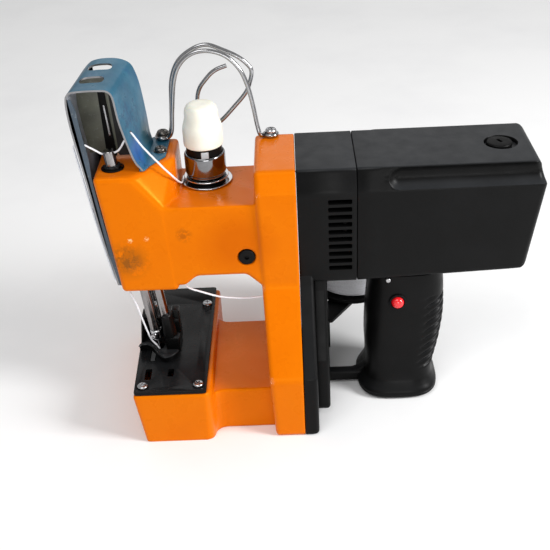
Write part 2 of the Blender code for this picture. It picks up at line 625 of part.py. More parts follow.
def make_tension():
    base = (TENSION_X, TENSION_Y, 0)
    up = (0, 0, 1)
    floor = ARM_TOP_Z + GAP
    add("tension_stud", turned([(0, 160.0), (2.9, 160.0), (2.9, 208.0), (0, 208.0)], base, up, 16), STEEL)
    add("tension_disc_lower", turned([(3.3, floor), (17.0, floor), (17.9, floor + 0.6), (17.6, floor + 1.4),
                                      (14.0, floor + 1.2), (3.3, floor + 1.2)], base, up, 32), CHROME)
    add("tension_disc_upper", turned([(3.3, floor + 3.2), (13.0, floor + 3.2), (15.4, floor + 3.9),
                                      (15.2, floor + 4.7), (12.5, floor + 4.2), (3.3, floor + 4.2)],
                                     base, up, 32), CHROME)
    add("tension_cup", turned([(3.6, 173.6), (13.4, 173.6), (14.0, 174.2), (14.0, 189.6), (13.6, 190.0),
                               (12.4, 190.0), (12.4, 175.4), (3.6, 175.4)], base, up, 32), CHROME)
    turns = 4
    path = []
    for i in range(turns * 8 + 1):
        angle = 2 * math.pi * i / 8
        path.append((TENSION_X + 7.0 * math.cos(angle), TENSION_Y + 7.0 * math.sin(angle),
                     176.8 + 16.6 * i / (turns * 8)))
    wire("tension_spring", path, 0.9, STEEL)
    cap = turned([(3.3, 194.8), (12.6, 194.8), (13.5, 195.8), (13.5, 209.5), (12.4, 212.2), (11.4, 214.0),
                  (11.4, 219.5), (10.2, 222.6), (7.4, 224.3), (0.0, 224.6), (0.0, 210.0), (3.3, 210.0)],
                 base, up, 28)
    add("tension_cap", cap, IVORY)


# ---------------------------------------------------------------- drive line

def make_drive():
    along_x = (1, 0, 0)
    shaft_base = (0, 0, SHAFT_Z)
    shaft = add("main_shaft", rod(SHAFT_R, shaft_base, along_x, 4.0, 99.0), STEEL)
    join(shaft,
         add("rear_eccentric", rod(7.0, (0, 0, SHAFT_Z + 3.0), along_x, 74.5, 79.5)),
         add("front_eccentric", rod(6.0, (0, 0, SHAFT_Z - 1.5), along_x, 7.0, 12.0)))
    add("bearing_front", ring(8.0, SHAFT_R + 0.3, shaft_base, along_x, 19.0, 25.0), STEEL)
    add("bearing_rear", ring(8.0, SHAFT_R + 0.3, shaft_base, along_x, 83.0, 91.0), STEEL)

    fork = prism([(-14.0, 16.0), (-10.6, 16.0), (-10.6, 42.0), (-7.0, 44.0), (7.0, 44.0), (10.6, 42.0),
                  (10.6, 16.0), (14.0, 16.0), (14.0, 45.0), (5.0, 54.0), (4.0, 128.0), (-4.0, 128.0),
                  (-5.0, 54.0), (-14.0, 45.0)], ROD_X - 3.0, ROD_X + 3.0, "X")
    rod_piece = add("connecting_rod", fork, STEEL)
    join(rod_piece, add("rod_eye", rod(6.5, (ROD_X, 0, ROD_Z), (0, 1, 0), -4.0, 4.0)))
    cut(rod_piece, add("rod_eye_bore", rod(3.4, (ROD_X, 0, ROD_Z), (0, 1, 0), -8.0, 8.0, 16)))

    pivot = (ROCKER_X, 0, ROCKER_Z)
    across = (0, 1, 0)
    tip_x = needle_point(STUD_Z)[0]
    lever = prism([(tip_x - 4.5, STUD_Z - 5.6), (tip_x + 6.0, STUD_Z - 5.2), (22.0, 121.2), (ROCKER_X, 124.0),
                   (ROD_X + 3.0, ROD_Z - 3.6), (ROD_X + 3.0, ROD_Z + 3.6), (ROCKER_X, 136.5),
                   (22.0, 129.8), (tip_x + 6.0, STUD_Z + 5.4), (tip_x - 4.5, STUD_Z + 5.6)],
                  -10.0, -5.0, "Y")
    rocker = add("rocker_arm", lever, STEEL)
    join(rocker,
         add("rocker_hub", rod(9.0, pivot, across, -14.0, 14.0)),
         add("rocker_rear_pin", rod(2.6, (ROD_X, 0, ROD_Z), across, -6.0, 5.5, 16)))
    cut(rocker,
        add("rocker_bore", rod(4.4, pivot, across, -20.0, 20.0)),
        add("rocker_fork_slot", box((tip_x - 9.0, -12.0, STUD_Z - 3.3), (tip_x + 3.5, -3.0, STUD_Z + 3.3))))
    add("rocker_pivot", rod(4.0, pivot, across, -29.3, 28.7, 20), STEEL)

    x0, x1 = PULLEY_X
    for name, z, radius, bore in (("driven_pulley", SHAFT_Z, DRIVEN_PULLEY_R, SHAFT_R),
                                  ("motor_pulley", MOTOR_Z, MOTOR_PULLEY_R, MOTOR_SHAFT_R)):
        add(name, ring(radius, bore + 0.3, (0, 0, z), along_x, x0, x1, 32), STEEL)
    inner = belt_line(GAP)
    outer = belt_line(GAP + BELT_THICK)
    bm = bmesh.new()
    rows = [[bm.verts.new((x, y, z)) for y, z in line]
            for x, line in ((x0 + 0.6, outer), (x1 - 0.6, outer), (x1 - 0.6, inner), (x0 + 0.6, inner))]
    for low, high in zip(rows, rows[1:] + rows[:1]):
        for i in range(len(low)):
            j = (i + 1) % len(low)
            bm.faces.new((low[i], low[j], high[j], high[i]))
    add("drive_belt", bm, RUBBER)


def belt_line(outside):
    """The belt's path round both pulleys in the YZ plane, a given distance outside them."""
    span = MOTOR_Z - SHAFT_Z
    lean = math.degrees(math.asin((DRIVEN_PULLEY_R - MOTOR_PULLEY_R) / span))
    low = circle(DRIVEN_PULLEY_R + outside, 13, (0, SHAFT_Z), 180.0 - lean, 180.0 + 2 * lean)
    high = circle(MOTOR_PULLEY_R + outside, 9, (0, MOTOR_Z), lean, 180.0 - 2 * lean)
    return low + high


def housing_ring(x, bottom=HOUSING_BOTTOM_Z, lean=0.0, inset=0.0):
    """The motor housing's outline at one x; a lean pushes its corners along X."""
    points = [(-30.0 + inset, bottom + inset), (30.0 - inset, bottom + inset),
              (SIDE_HALF_Y - inset, CHAMFER_Z), (TOP_HALF_Y - inset, TOP_Z - inset),
              (-TOP_HALF_Y + inset, TOP_Z - inset), (-SIDE_HALF_Y + inset, CHAMFER_Z)]
    shifts = (-lean, -lean, 0.0, -0.6 * lean, -0.6 * lean, 0.0)
    return [(x + shift, y, z) for (y, z), shift in zip(points, shifts)]


def make_drive_case():
    """Front half of the black body: belt chamber down to the floor, and the vented fan chamber above."""
    along_x = (1, 0, 0)
    motor_base = (0, 0, MOTOR_Z)
    tower = loft(tower_rings(PILLAR_REAR_X + GAP, 102.0, pillar_levels(0.0, TOP_Z)))
    case = add("drive_case", tower, BLACK)
    join(case, add("fan_chamber_body", loft([housing_ring(96.0, inset=0.2),
                                             housing_ring(CASE_REAR_X, inset=0.2)])))
    cutters = [
        add("belt_chamber", loft(tower_rings(90.0, 99.9, pillar_levels(3.0, 187.0), 3.0))),
        add("fan_chamber", turned([(0, 98.0), (11.3, 98.0), (11.3, 112.5), (BARREL_R, 112.5),
                                   (BARREL_R, 135.0), (0, 135.0)], motor_base, along_x, 32)),
    ]
    for i in range(10):
        z = 168.4 - 5.87 * i
        cutters.append(add(f"vent_slot_{i + 1}", box((112.4, -40.0, z - 1.7), (128.2, 40.0, z + 1.7))))
    cut(case, *cutters)

    levels = [(5.0, 46.0), (FLARE_Z, 46.0), (96.0, 27.0), (HOUSING_BOTTOM_Z - GAP, 26.0)]
    rear = add("belt_cover_rear", bevel(loft(tower_rings(102.3, 111.0, levels)), 1.5, 2,
                                        lambda co: co.x < 102.4), BLACK)
    inner = [(8.0, 43.0), (FLARE_Z, 43.0), (96.0, 24.0), (101.0, 23.0)]
    cut(rear, add("belt_cover_hollow", loft(tower_rings(100.0, 108.5, inner))))


def make_motor_housing():
    along_x = (1, 0, 0)
    motor_base = (0, 0, MOTOR_Z)
    rings = [housing_ring(HOUSING_X), housing_ring(241.0, 109.2), housing_ring(252.7, 109.6, 8.3)]
    housing = add("motor_housing", bevel(loft(rings), 2.0, 2, lambda co: co.x < HOUSING_X + 0.01), BLACK)
    cutters = [
        add("barrel_hollow", turned([(0, 130.0), (BARREL_R, 130.0), (BARREL_R, 237.5), (11.3, 237.5),
                                     (11.3, 246.8), (0, 246.8)], motor_base, along_x, 32)),
        add("brush_bore_top", rod(6.1, (BRUSH_X, 0, 0), (0, 0, 1), 170.0, 195.0)),
        add("brush_bore_bottom", rod(6.1, (BRUSH_X, 0, 0), (0, 0, 1), 100.0, 125.0)),
        add("brush_recess_top", rod(10.6, (BRUSH_X + 1.0, 0, 0), (0, 0, 1), 188.2, 195.0)),
        add("brush_recess_bottom", rod(10.6, (BRUSH_X + 1.0, 0, 0), (0, 0, 1), 100.0, 111.8)),
    ]
    for side in (-1, 1):
        cove = turned([(0, 0)] + [(12.5 * math.sin(math.radians(a)), 12.5 - 12.5 * math.cos(math.radians(a)))
                                  for a in (30, 60, 90)] + [(12.5, 110.0), (0, 110.0)],
                      (153.0, side * 43.6, 188.6), (1, 0, 0))
        cutters.append(add(f"shoulder_cove_{'near' if side < 0 else 'far'}", cove))
    cut(housing, *cutters)
    for name, sign, face in (("brush_cap_top", 1, 188.5), ("brush_cap_bottom", -1, 111.5)):
        cap = add(name, turned([(0, -7.0), (5.7, -7.0), (5.7, 0), (8.6, 0), (8.6, 1.7), (7.8, 2.5), (0, 2.5)],
                               (BRUSH_X, 0, face), (0, 0, sign)), BLACK)
        cut(cap, add(f"{name}_slot", box((BRUSH_X - 0.9, -6.0, face + sign * 2.6 - 1.3),
                                         (BRUSH_X + 0.9, 6.0, face + sign * 2.6 + 1.3))))


def make_motor():
    along_x = (1, 0, 0)
    base = (0, 0, MOTOR_Z)
    add("motor_stator", ring(30.0, 18.0, base, along_x, 140.0, 205.0, 32), STEEL)
    add("armature", turned([(0, 93.0), (MOTOR_SHAFT_R, 93.0), (MOTOR_SHAFT_R, 142.0), (17.0, 142.0),
                                       (17.0, 203.0), (8.0, 208.0), (8.0, 219.0), (11.0, 221.0), (11.0, 235.5),
                                       (MOTOR_SHAFT_R, 235.5), (MOTOR_SHAFT_R, 246.0), (0, 246.0)],
                                      base, along_x, 24), COPPER)
    fan = add("motor_fan", ring(9.0, MOTOR_SHAFT_R + 0.3, base, along_x, 114.0, 125.0), BLACK)
    join(fan, add("fan_disc", ring(27.0, 6.0, base, along_x, 123.0, 125.0, 32)))
    blades = []
    for i in range(8):
        angle = 2 * math.pi * i / 8
        radial = Vector((0, math.cos(angle), math.sin(angle)))
        tangent = Vector((0, -math.sin(angle), math.cos(angle)))
        corners = []
        for r, t in ((7.0, -0.9), (26.0, -0.9), (26.0, 0.9), (7.0, 0.9)):
            point = Vector(base) + radial * r + tangent * (t + 0.12 * r)
            corners.append(point)
        blades.append(add(f"fan_blade_{i + 1}", loft([[(x, p.y, p.z) for p in corners]
                                                      for x in (115.0, 124.0)])))
    join(fan, *blades)
    add("motor_bearing_front", ring(11.0, MOTOR_SHAFT_R + 0.3, base, along_x, 102.5, 110.5, 32), STEEL)
    add("motor_bearing_rear", ring(11.0, MOTOR_SHAFT_R + 0.3, base, along_x, 238.0, 245.5, 32), STEEL)


# ---------------------------------------------------------------- handle

HANDLE_LEVELS = ((0.3, 140.0, 186.0, 23.0), (3.0, 134.5, 191.5, 26.5), (10.0, 133.0, 192.0, 27.0),
                 (16.0, 136.0, 190.0, 25.8), (25.0, 139.3, 187.6, 24.6), (44.0, 138.6, 191.8, 25.0),
                 (66.0, 139.4, 193.6, 25.0), (90.0, 141.2, 192.5, 25.0), (104.1, 141.6, 191.0, 25.0))


def handle_ring(z, front, rear, half, inset=0.0, count=24):
    """A rounded rectangle, as a superellipse."""
    points = []
    centre = 0.5 * (front + rear)
    for i in range(count):
        angle = 2 * math.pi * (i + 0.5) / count
        c, s = math.cos(angle), math.sin(angle)
        x = math.copysign(abs(c) ** 0.62, c) * (0.5 * (rear - front) - inset)
        y = math.copysign(abs(s) ** 0.62, s) * (half - inset)
        points.append((centre + x, y, z))
    return points


def make_handle():
    for name, sign in (("handle_near", -1), ("handle_far", 1)):
        shell = add(name, loft([handle_ring(*level) for level in HANDLE_LEVELS]), BLACK)
        if sign < 0:
            brace = add("handle_brace", bevel(box((111.3, -8.3, 2.0), (142.0, -0.3, 10.4)), 1.0))
            web = add("brace_web", prism([(128.0, 2.6), (142.0, 2.6), (142.0, 18.0), (136.5, 14.0),
                                          (130.0, 10.0)], -7.6, -0.9, "Y"))
            join(shell, brace, web)
        hollow = loft([handle_ring(z, front, rear, half, 3.0) for z, front, rear, half in
                       ((12.0, 135.0, 190.5, 26.5),) + HANDLE_LEVELS[3:-1] + ((101.0, 141.6, 191.0, 25.0),)])
        low, high = (-0.15, 40.0) if sign < 0 else (-40.0, 0.15)
        cut(shell,
            add(f"{name}_hollow", hollow),
            add(f"{name}_split", box((100.0, low, -5.0), (210.0, high, 120.0))),
            add(f"{name}_gland_bore", rod(7.2, (176.0, 0, 0), (0, 0, 1), -2.0, 14.0)))
        if sign < 0:
            cut(shell, add("button_bore", rod(4.9, (BUTTON_X, 0, BUTTON_Z), (0, 1, 0), -35.0, -10.0)))
    add("cord_gland", turned([(4.0, 1.0), (6.9, 1.0), (6.9, 12.4), (8.6, 12.4), (8.6, 14.4), (4.0, 14.4)],
                             (176.0, 0, 0), (0, 0, 1)), RUBBER)
    add("trigger_button", turned([(0, -29.2), (2.4, -28.8), (4.0, -27.6), (4.5, -26.0), (4.5, -20.5),
                                  (6.4, -20.5), (6.4, -18.9), (0, -18.9)],
                                 (BUTTON_X, 0, BUTTON_Z), (0, 1, 0)), RED)
    switch = add("switch_body", bevel(box((151.0, -12.0, 68.0), (173.0, 9.0, 98.0)), 1.0), BLACK)
    join(switch, add("switch_plunger", rod(2.6, (BUTTON_X, 0, BUTTON_Z), (0, 1, 0), -14.8, -8.0, 16)))


# ---------------------------------------------------------------- thread

def make_spool():
    base = (CONE_X, CONE_Y, 0)
    up = (0, 0, 1)
    add("spool_plate", turned([(0, 38.0), (30.5, 38.0), (31.5, 39.0), (31.5, 41.0), (4.0, 41.0),
                                       (4.0, 118.0), (2.0, 120.0), (0, 120.0)], base, up, 32), BLACK)
    bracket = add("spool_bracket", prism([(111.4, 22.0), (116.0, 22.0), (142.0, 60.0), (142.0, 82.0),
                                          (128.0, 82.0), (111.4, 44.0)], 34.7, 37.7), BLACK_STEEL)
    join(bracket, add("bracket_flange", prism([(18.0, 14.0), (38.0, 14.0), (44.0, 37.4), (20.0, 37.4)],
                                              111.4, 114.0, "X")))
    add("thread_cone", turned([(5.0, 41.4), (27.0, 41.4), (28.0, 43.0), (27.6, 47.0), (17.5, 128.0),
                               (16.0, 130.5), (11.0, 130.8), (10.5, 134.0), (9.0, 134.0), (5.0, 127.0)],
                              base, up, 32), WHITE)


UPPER_THREAD = ((132.0, 55.2, 132.0), (126.0, 54.0, 140.0), (116.0, 51.0, 148.0), (96.0, 44.0, 154.0),
                (80.0, 40.0, 157.0), (66.0, 38.4, 159.5), (52.0, 35.0, 163.0), (42.0, 34.0, 172.0),
                (38.0, 36.6, 187.0), (36.6, 36.0, 197.5), (36.2, 34.4, 202.2), (35.6, 31.0, 202.4),
                (34.6, 28.4, 197.0), (30.5, 27.0, 186.0), (27.5, 25.0, 175.5), (23.0, 20.5, 170.9), (18.0, 13.5, 170.9),
                (15.4, 4.0, 170.9), (14.2, -5.0, 173.5), (11.0, -17.0, 184.0), (4.0, -21.0, 195.0),
                (-6.0, -18.6, 206.5), (-12.0, -15.6, 214.2), (-13.4, -14.8, 215.2))
NEEDLE_THREAD = ((-33.6, -17.0, 201.0), (-37.5, -18.5, 205.0), (-41.2, -22.4, 205.5), (-43.0, -26.2, 196.0),
                 (-42.0, -28.0, 180.0), (-39.4, -29.0, 150.0), (-35.2, -29.6, 112.0), (-33.0, -29.2, 92.0),
                 (-30.6, -27.4, 75.5), (-22.6, -20.8, 63.6), (-19.2, -19.6, 58.0), (-17.0, -19.2, 53.4),
                 (-13.0, -19.0, 48.6), (-11.9, -18.9, 46.0), (-11.6, -18.9, 41.0))


def make_thread():
    wire("thread_upper", smooth_path(UPPER_THREAD, 3), 0.6, WHITE)
    wire("thread_needle", smooth_path(NEEDLE_THREAD, 3), 0.6, WHITE)


def set_pivots():
    """Each moving piece's origin goes onto its joint's axis."""
    pivots = {
        "needle_bar": needle_point(100.0), "needle_clamp": needle_point(59.0), "needle": needle_point(45.0),
        "thread_needle": needle_point(100.0), "rocker_arm": (ROCKER_X, 0, ROCKER_Z),
        "connecting_rod": (ROD_X, 0, ROD_Z), "feed_dog": (-11.6, 0, 34.0), "looper": (6.0, 0, 11.0),
        "looper_shaft": (6.0, 0, 11.0), "presser_bar": needle_point(100.0, PRESSER_OFFSET),
        "presser_foot": needle_point(60.0, PRESSER_OFFSET), "tension_cap": (TENSION_X, TENSION_Y, 200.0),
        "trigger_button": (BUTTON_X, -20.0, BUTTON_Z), "thread_cone": (CONE_X, CONE_Y, 42.0),
        "main_shaft": (50.0, 0, SHAFT_Z), "driven_pulley": (96.2, 0, SHAFT_Z),
        "armature": (170.0, 0, MOTOR_Z), "motor_pulley": (96.2, 0, MOTOR_Z), "motor_fan": (120.0, 0, MOTOR_Z),
    }
    for name, place in pivots.items():
        set_pivot(bpy.data.objects[name], place)


def main():
    clear_scene()
    make_casting()
    make_bed()
    make_needle_group()
    make_feed_and_looper()
    make_guard()
    make_hanger()
    make_tension()
    make_drive()
    make_drive_case()
    make_motor_housing()
    make_motor()
    make_handle()
    make_spool()
    make_thread()
    set_pivots()


main()
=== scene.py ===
"""Looks of the hand-held bag closer: refined visible shapes, materials, thread, floor, lights and camera.

Shapes are written in millimetres in the CAD's own frame and scaled to metres when a mesh is made.
"""
import math

import bmesh
import bpy
from mathutils import Matrix, Vector


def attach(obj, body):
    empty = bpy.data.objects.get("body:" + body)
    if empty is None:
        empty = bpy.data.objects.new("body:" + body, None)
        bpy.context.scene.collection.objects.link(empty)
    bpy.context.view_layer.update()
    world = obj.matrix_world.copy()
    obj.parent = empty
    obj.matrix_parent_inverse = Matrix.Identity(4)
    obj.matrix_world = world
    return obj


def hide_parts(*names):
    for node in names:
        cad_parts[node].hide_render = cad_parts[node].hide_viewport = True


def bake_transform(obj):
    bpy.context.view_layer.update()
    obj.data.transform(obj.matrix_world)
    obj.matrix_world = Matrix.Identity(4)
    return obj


MM = 0.001
UP = (0.0, 0.0, 1.0)
ALONG = (1.0, 0.0, 0.0)
ACROSS = (0.0, 1.0, 0.0)

# Places and sizes, as in the CAD.
NEEDLE_Y = -17
NEEDLE_LEAN = 0.1085
NEEDLE_FOOT_X = -6.9
PRESSER_OFFSET = 9.2
TENSION = (31, 8)
GUARD_SCREWS = ((1.9, 4), (1.9, 24))
HANGER_SCREW = (76.3, 26)
PLATE_SCREWS = ((-20.4, -60.6), (18.5, -60.4), (19, 41.8), (-22.5, 43))
PLATE_TOP = 44
MOTOR_Z = 148
BRUSH_X = 228.5
BUTTON = (160.3, 83)
CONE = (134, 73)
HEAD_TOP_Z = 191.8
PILLAR_TOP = 190.8

# Further places and sizes.
ARM_PLUG = (57, -33.4, 129)
WIRE_R = 1.5
THREAD_R = 0.7
FLOOR_SIZE = 4000

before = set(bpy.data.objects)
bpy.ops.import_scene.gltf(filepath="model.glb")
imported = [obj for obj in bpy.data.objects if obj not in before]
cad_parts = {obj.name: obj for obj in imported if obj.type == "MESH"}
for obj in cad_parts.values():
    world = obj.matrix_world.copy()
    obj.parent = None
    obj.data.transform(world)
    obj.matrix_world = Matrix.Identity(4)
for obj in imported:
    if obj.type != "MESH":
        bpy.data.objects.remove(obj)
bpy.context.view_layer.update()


# ---------------------------------------------------------------- materials

def linear(red, green, blue):
    """Display colour, 0 to 255, to the scene's linear values."""
    values = []
    for value in (red, green, blue):
        value /= 255.0
        values.append(value / 12.92 if value <= 0.04045 else ((value + 0.055) / 1.055) ** 2.4)
    return (*values, 1.0)


# Where the mix node keeps its two colours and its mixed colour.
MIX_UNDER = 6
MIX_OVER = 7
MIX_RESULT = 2
EVEN = (1, 1, 1)


class Surface:
    """A procedural material on a Principled shader, built up by adding layers."""

    def __init__(self, name, colour, roughness, metallic=0.0, coat=0.0, coat_roughness=0.05,
                 specular=0.5):
        self.material = bpy.data.materials.new(name)
        self.material.use_nodes = True
        self.tree = self.material.node_tree
        self.shader = self.tree.nodes["Principled BSDF"]
        self.shader.inputs["Base Color"].default_value = colour
        self.shader.inputs["Roughness"].default_value = roughness
        self.shader.inputs["Metallic"].default_value = metallic
        self.shader.inputs["Coat Weight"].default_value = coat
        self.shader.inputs["Coat Roughness"].default_value = coat_roughness
        self.shader.inputs["Specular IOR Level"].default_value = specular
        self.material.diffuse_color = colour
        self.coords = self.node("ShaderNodeTexCoord").outputs["Object"]
        self.colour = None
        self.base = colour

    def node(self, kind, **settings):
        """Adds a shader node with its settings."""
        made = self.tree.nodes.new(kind)
        for key, value in settings.items():
            setattr(made, key, value)
        return made

    def link(self, out, to):
        """Joins an output to an input."""
        self.tree.links.new(out, to)

    def noise(self, scale, detail=4.0, roughness=0.55, stretch=EVEN):
        """Noise over the object; scale is in cells per metre."""
        mapping = self.node("ShaderNodeMapping")
        mapping.inputs["Scale"].default_value = [scale * s for s in stretch]
        self.link(self.coords, mapping.inputs["Vector"])
        noise = self.node("ShaderNodeTexNoise")
        noise.inputs["Scale"].default_value = 1.0
        noise.inputs["Detail"].default_value = detail
        noise.inputs["Roughness"].default_value = roughness
        self.link(mapping.outputs["Vector"], noise.inputs["Vector"])
        return noise.outputs["Fac"]

    def remap(self, value, low, high, to_low=0.0, to_high=1.0):
        """Takes the range from low to high onto another one."""
        remap = self.node("ShaderNodeMapRange")
        settings = {"From Min": low, "From Max": high, "To Min": to_low, "To Max": to_high}
        for key, number in settings.items():
            remap.inputs[key].default_value = number
        self.link(value, remap.inputs["Value"])
        return remap.outputs["Result"]

    def times(self, a, b):
        """Multiplies an output by another one or by a number."""
        product = self.node("ShaderNodeMath", operation="MULTIPLY")
        self.link(a, product.inputs[0])
        if isinstance(b, float):
            product.inputs[1].default_value = b
        else:
            self.link(b, product.inputs[1])
        return product.outputs[0]

    def mix(self, mask, colour):
        """Lays a colour over what is there wherever the mask is 1."""
        mix = self.node("ShaderNodeMix", data_type="RGBA")
        self.link(mask, mix.inputs["Factor"])
        under, over = mix.inputs[MIX_UNDER], mix.inputs[MIX_OVER]
        over.default_value = colour
        if self.colour is None:
            under.default_value = self.base
        else:
            self.link(self.colour, under)
        self.colour = mix.outputs[MIX_RESULT]
        self.link(self.colour, self.shader.inputs["Base Color"])
        return self

    def mottle(self, scale, colour, amount=0.5, low=0.45, high=0.7):
        """Soft uneven patches of another colour."""
        return self.mix(self.times(self.remap(self.noise(scale), low, high), amount), colour)

    def spot(self, centre, radius, colour, scale, cover, strength):
        """A broken-up patch of colour round one point, used for stains and for painted shade and highlights;
        centre and radius in millimetres.
        """
        offset = self.node("ShaderNodeVectorMath", operation="DISTANCE")
        self.link(self.coords, offset.inputs[0])
        offset.inputs[1].default_value = [c * MM for c in centre]
        near = self.remap(offset.outputs["Value"], radius * MM, radius * 0.35 * MM)
        broken = self.remap(self.noise(scale, 5.0, 0.7), 1.0 - cover, 1.06 - cover)
        return self.mix(self.times(self.times(near, broken), strength), colour)

    def painted_top_sheen(self, colour, amount):
        """Painted sheen: a fine, uneven paler colour on the faces that look up, standing in for the light
        they catch.
        """
        separate = self.node("ShaderNodeSeparateXYZ")
        self.link(self.node("ShaderNodeNewGeometry").outputs["Normal"], separate.inputs[0])
        upward = self.remap(separate.outputs["Z"], 0.40, 0.97)
        uneven = self.remap(self.noise(55.0, 5.0, 0.6), 0.25, 0.75, 0.75, 1.0)
        return self.mix(self.times(self.times(upward, uneven), amount), colour)

    def rough(self, scale, low, high):
        """Roughness that wanders between two values."""
        wander = self.remap(self.noise(scale, 3.0), 0.3, 0.7, low, high)
        self.link(wander, self.shader.inputs["Roughness"])
        return self

    def bumps(self, *layers):
        """Each layer is (scale, strength, height in metres, stretch)."""
        normal = None
        for scale, strength, height, stretch in layers:
            bump = self.node("ShaderNodeBump")
            bump.inputs["Strength"].default_value = strength
            bump.inputs["Distance"].default_value = height
            self.link(self.noise(scale, 2.0, 0.5, stretch), bump.inputs["Height"])
            if normal is not None:
                self.link(normal, bump.inputs["Normal"])
            normal = bump.outputs["Normal"]
        self.link(normal, self.shader.inputs["Normal"])
        return self


# Marks, painted shade and painted highlights on the enamel: centre and radius in millimetres, colour, grain
# in cells per metre, cover and strength.
ENAMEL_MARKS_SHADE_AND_GLINTS = (
    # A brown smudge on the head in three layers, and a small one on the arm.
    ((-23.0, -33.0, 130.0), 17.0, (150, 80, 14), 130.0, 0.60, 0.6),
    ((-24.5, -33.0, 131.0), 12.0, (110, 66, 26), 380.0, 0.52, 0.6),
    ((-20.0, -33.0, 127.0), 8.0, (70, 58, 45), 1300.0, 0.47, 0.8),
    ((16.2, -33.0, 148.0), 6.5, (160, 78, 14), 300.0, 0.56, 0.7),
    # Painted shade: wide darker clouds on the arm and the neck.
    ((52.0, -33.0, 140.0), 30.0, (182, 74, 2), 40.0, 0.70, 0.5),
    ((60.0, -30.0, 34.0), 34.0, (186, 76, 2), 40.0, 0.80, 0.25),
    # Pale scratches.
    ((-9.2, -33.0, 146.5), 2.2, (255, 206, 150), 900.0, 0.50, 0.9),
    ((-20.1, -33.0, 145.5), 2.2, (255, 206, 150), 900.0, 0.50, 0.9),
    # Painted highlights: pale glints on the pillar's front edges and creases.
    ((65.0, -34.0, 104.5), 4.0, (250, 226, 200), 1500.0, 0.45, 0.9),
    ((65.0, -35.0, 176.0), 4.0, (250, 226, 200), 1500.0, 0.42, 0.8),
    ((69.0, -67.0, 49.0), 4.0, (250, 226, 200), 1500.0, 0.45, 0.8),
)


def enamel():
    """Glossy orange machine enamel with handling marks, painted shade and painted highlights."""
    paint = Surface("enamel", linear(216, 108, 4), 0.27, specular=0.3)
    paint.shader.inputs["Specular Tint"].default_value = (1.0, 0.60, 0.04, 1.0)
    paint.mottle(25.0, linear(210, 101, 3), 0.6)
    paint.mottle(300.0, linear(202, 95, 5), 0.25, 0.55, 0.8)
    for centre, radius, colour, scale, cover, strength in ENAMEL_MARKS_SHADE_AND_GLINTS:
        paint.spot(centre, radius, linear(*colour), scale, cover, strength)
    paint.rough(60.0, 0.22, 0.38)
    return paint.bumps((260.0, 0.25, 0.0002, EVEN), (1500.0, 0.06, 0.00005, EVEN)).material


def black_plastic(name, shade=14, roughness=0.42, grain=0.35, top_sheen=0.0):
    """Spark-eroded black moulding."""
    plastic = Surface(name, linear(shade, shade, shade), roughness, specular=0.10,
                      coat=0.04, coat_roughness=0.25)
    plastic.mottle(40.0, linear(shade + 7, shade + 7, shade + 8), 0.5)
    plastic.mottle(700.0, linear(shade - 5, shade - 5, shade - 5), 0.4, 0.5, 0.75)
    # Painted sheen: the faces that look up are made paler, standing in for the light they catch.
    if top_sheen:
        plastic.painted_top_sheen(linear(70, 72, 75), top_sheen)
    plastic.rough(90.0, roughness - 0.06, roughness + 0.1)
    return plastic.bumps((2600.0, grain, 0.00006, EVEN), (420.0, 0.12, 0.0001, EVEN)).material


def bright_metal(name, shade=205, roughness=0.14, stretch=EVEN, tint=(0, 0, 2)):
    """Polished or machined metal with fine marks; stretch draws the marks out along an axis."""
    colour = linear(*[shade + part for part in tint])
    metal = Surface(name, colour, roughness, metallic=1.0)
    metal.mottle(160.0, linear(shade - 30, shade - 32, shade - 34), 0.35)
    metal.rough(240.0, roughness * 0.7, roughness * 1.6)
    return metal.bumps((900.0, 0.10, 0.00004, stretch), (3200.0, 0.12, 0.00002, stretch)).material


def film():
    """Blue protective film, slightly milky and wrinkled, on the guard's outside."""
    blue = Surface("guard_film", linear(30, 86, 110), 0.32, metallic=0.1, coat=0.25, coat_roughness=0.15,
                   specular=0.3)
    blue.mottle(28.0, linear(48, 106, 132), 0.7, 0.45, 0.65)
    blue.mottle(75.0, linear(22, 76, 112), 0.7, 0.5, 0.68)
    blue.spot((-15.0, -8.0, 226.0), 24.0, linear(28, 68, 98), 260.0, 0.50, 0.8)
    blue.spot((-10.5, -16.0, 202.0), 13.0, linear(12, 84, 158), 120.0, 0.66, 0.85)
    blue.spot((-7.0, 8.0, 204.0), 13.0, linear(16, 60, 70), 120.0, 0.66, 0.85)
    blue.spot((-15.0, -18.0, 222.0), 11.0, linear(176, 200, 212), 900.0, 0.34, 0.6)
    blue.rough(120.0, 0.26, 0.5)
    return blue.bumps((95.0, 0.5, 0.0006, (1, 1, 0.35)), (900.0, 0.2, 0.0001, EVEN)).material


def inner_sheet(name, colour):
    """Bare sheet inside the guard, marked and a little soiled."""
    sheet = Surface(name, linear(*colour), 0.5, coat=0.3, coat_roughness=0.2)
    sheet.mottle(60.0, linear(*[c * 0.7 for c in colour]), 0.7, 0.4, 0.65)
    sheet.mottle(500.0, linear(150, 152, 150), 0.4, 0.62, 0.75)
    return sheet.bumps((800.0, 0.3, 0.0001, (1, 1, 0.1))).material


def cotton(name, colour):
    """Matt spun thread."""
    thread = Surface(name, linear(*colour), 0.75, specular=0.3)
    thread.mottle(900.0, linear(*[c - 26 for c in colour]), 0.5)
    return thread.bumps((2600.0, 0.5, 0.0001, EVEN)).material


def moulded(name, colour, roughness, coat, scatter=0.0):
    """Coloured plastic moulding; scatter lets light into it."""
    plastic = Surface(name, linear(*colour), roughness, coat=coat)
    plastic.mottle(120.0, linear(*[max(0, c - 14) for c in colour]), 0.5)
    plastic.shader.inputs["Subsurface Weight"].default_value = scatter
    plastic.shader.inputs["Subsurface Radius"].default_value = (0.004, 0.003, 0.002)
    plastic.shader.inputs["Subsurface Scale"].default_value = 1.0
    plastic.rough(150.0, roughness - 0.06, roughness + 0.08)
    return plastic.bumps((500.0, 0.12, 0.0001, EVEN)).material


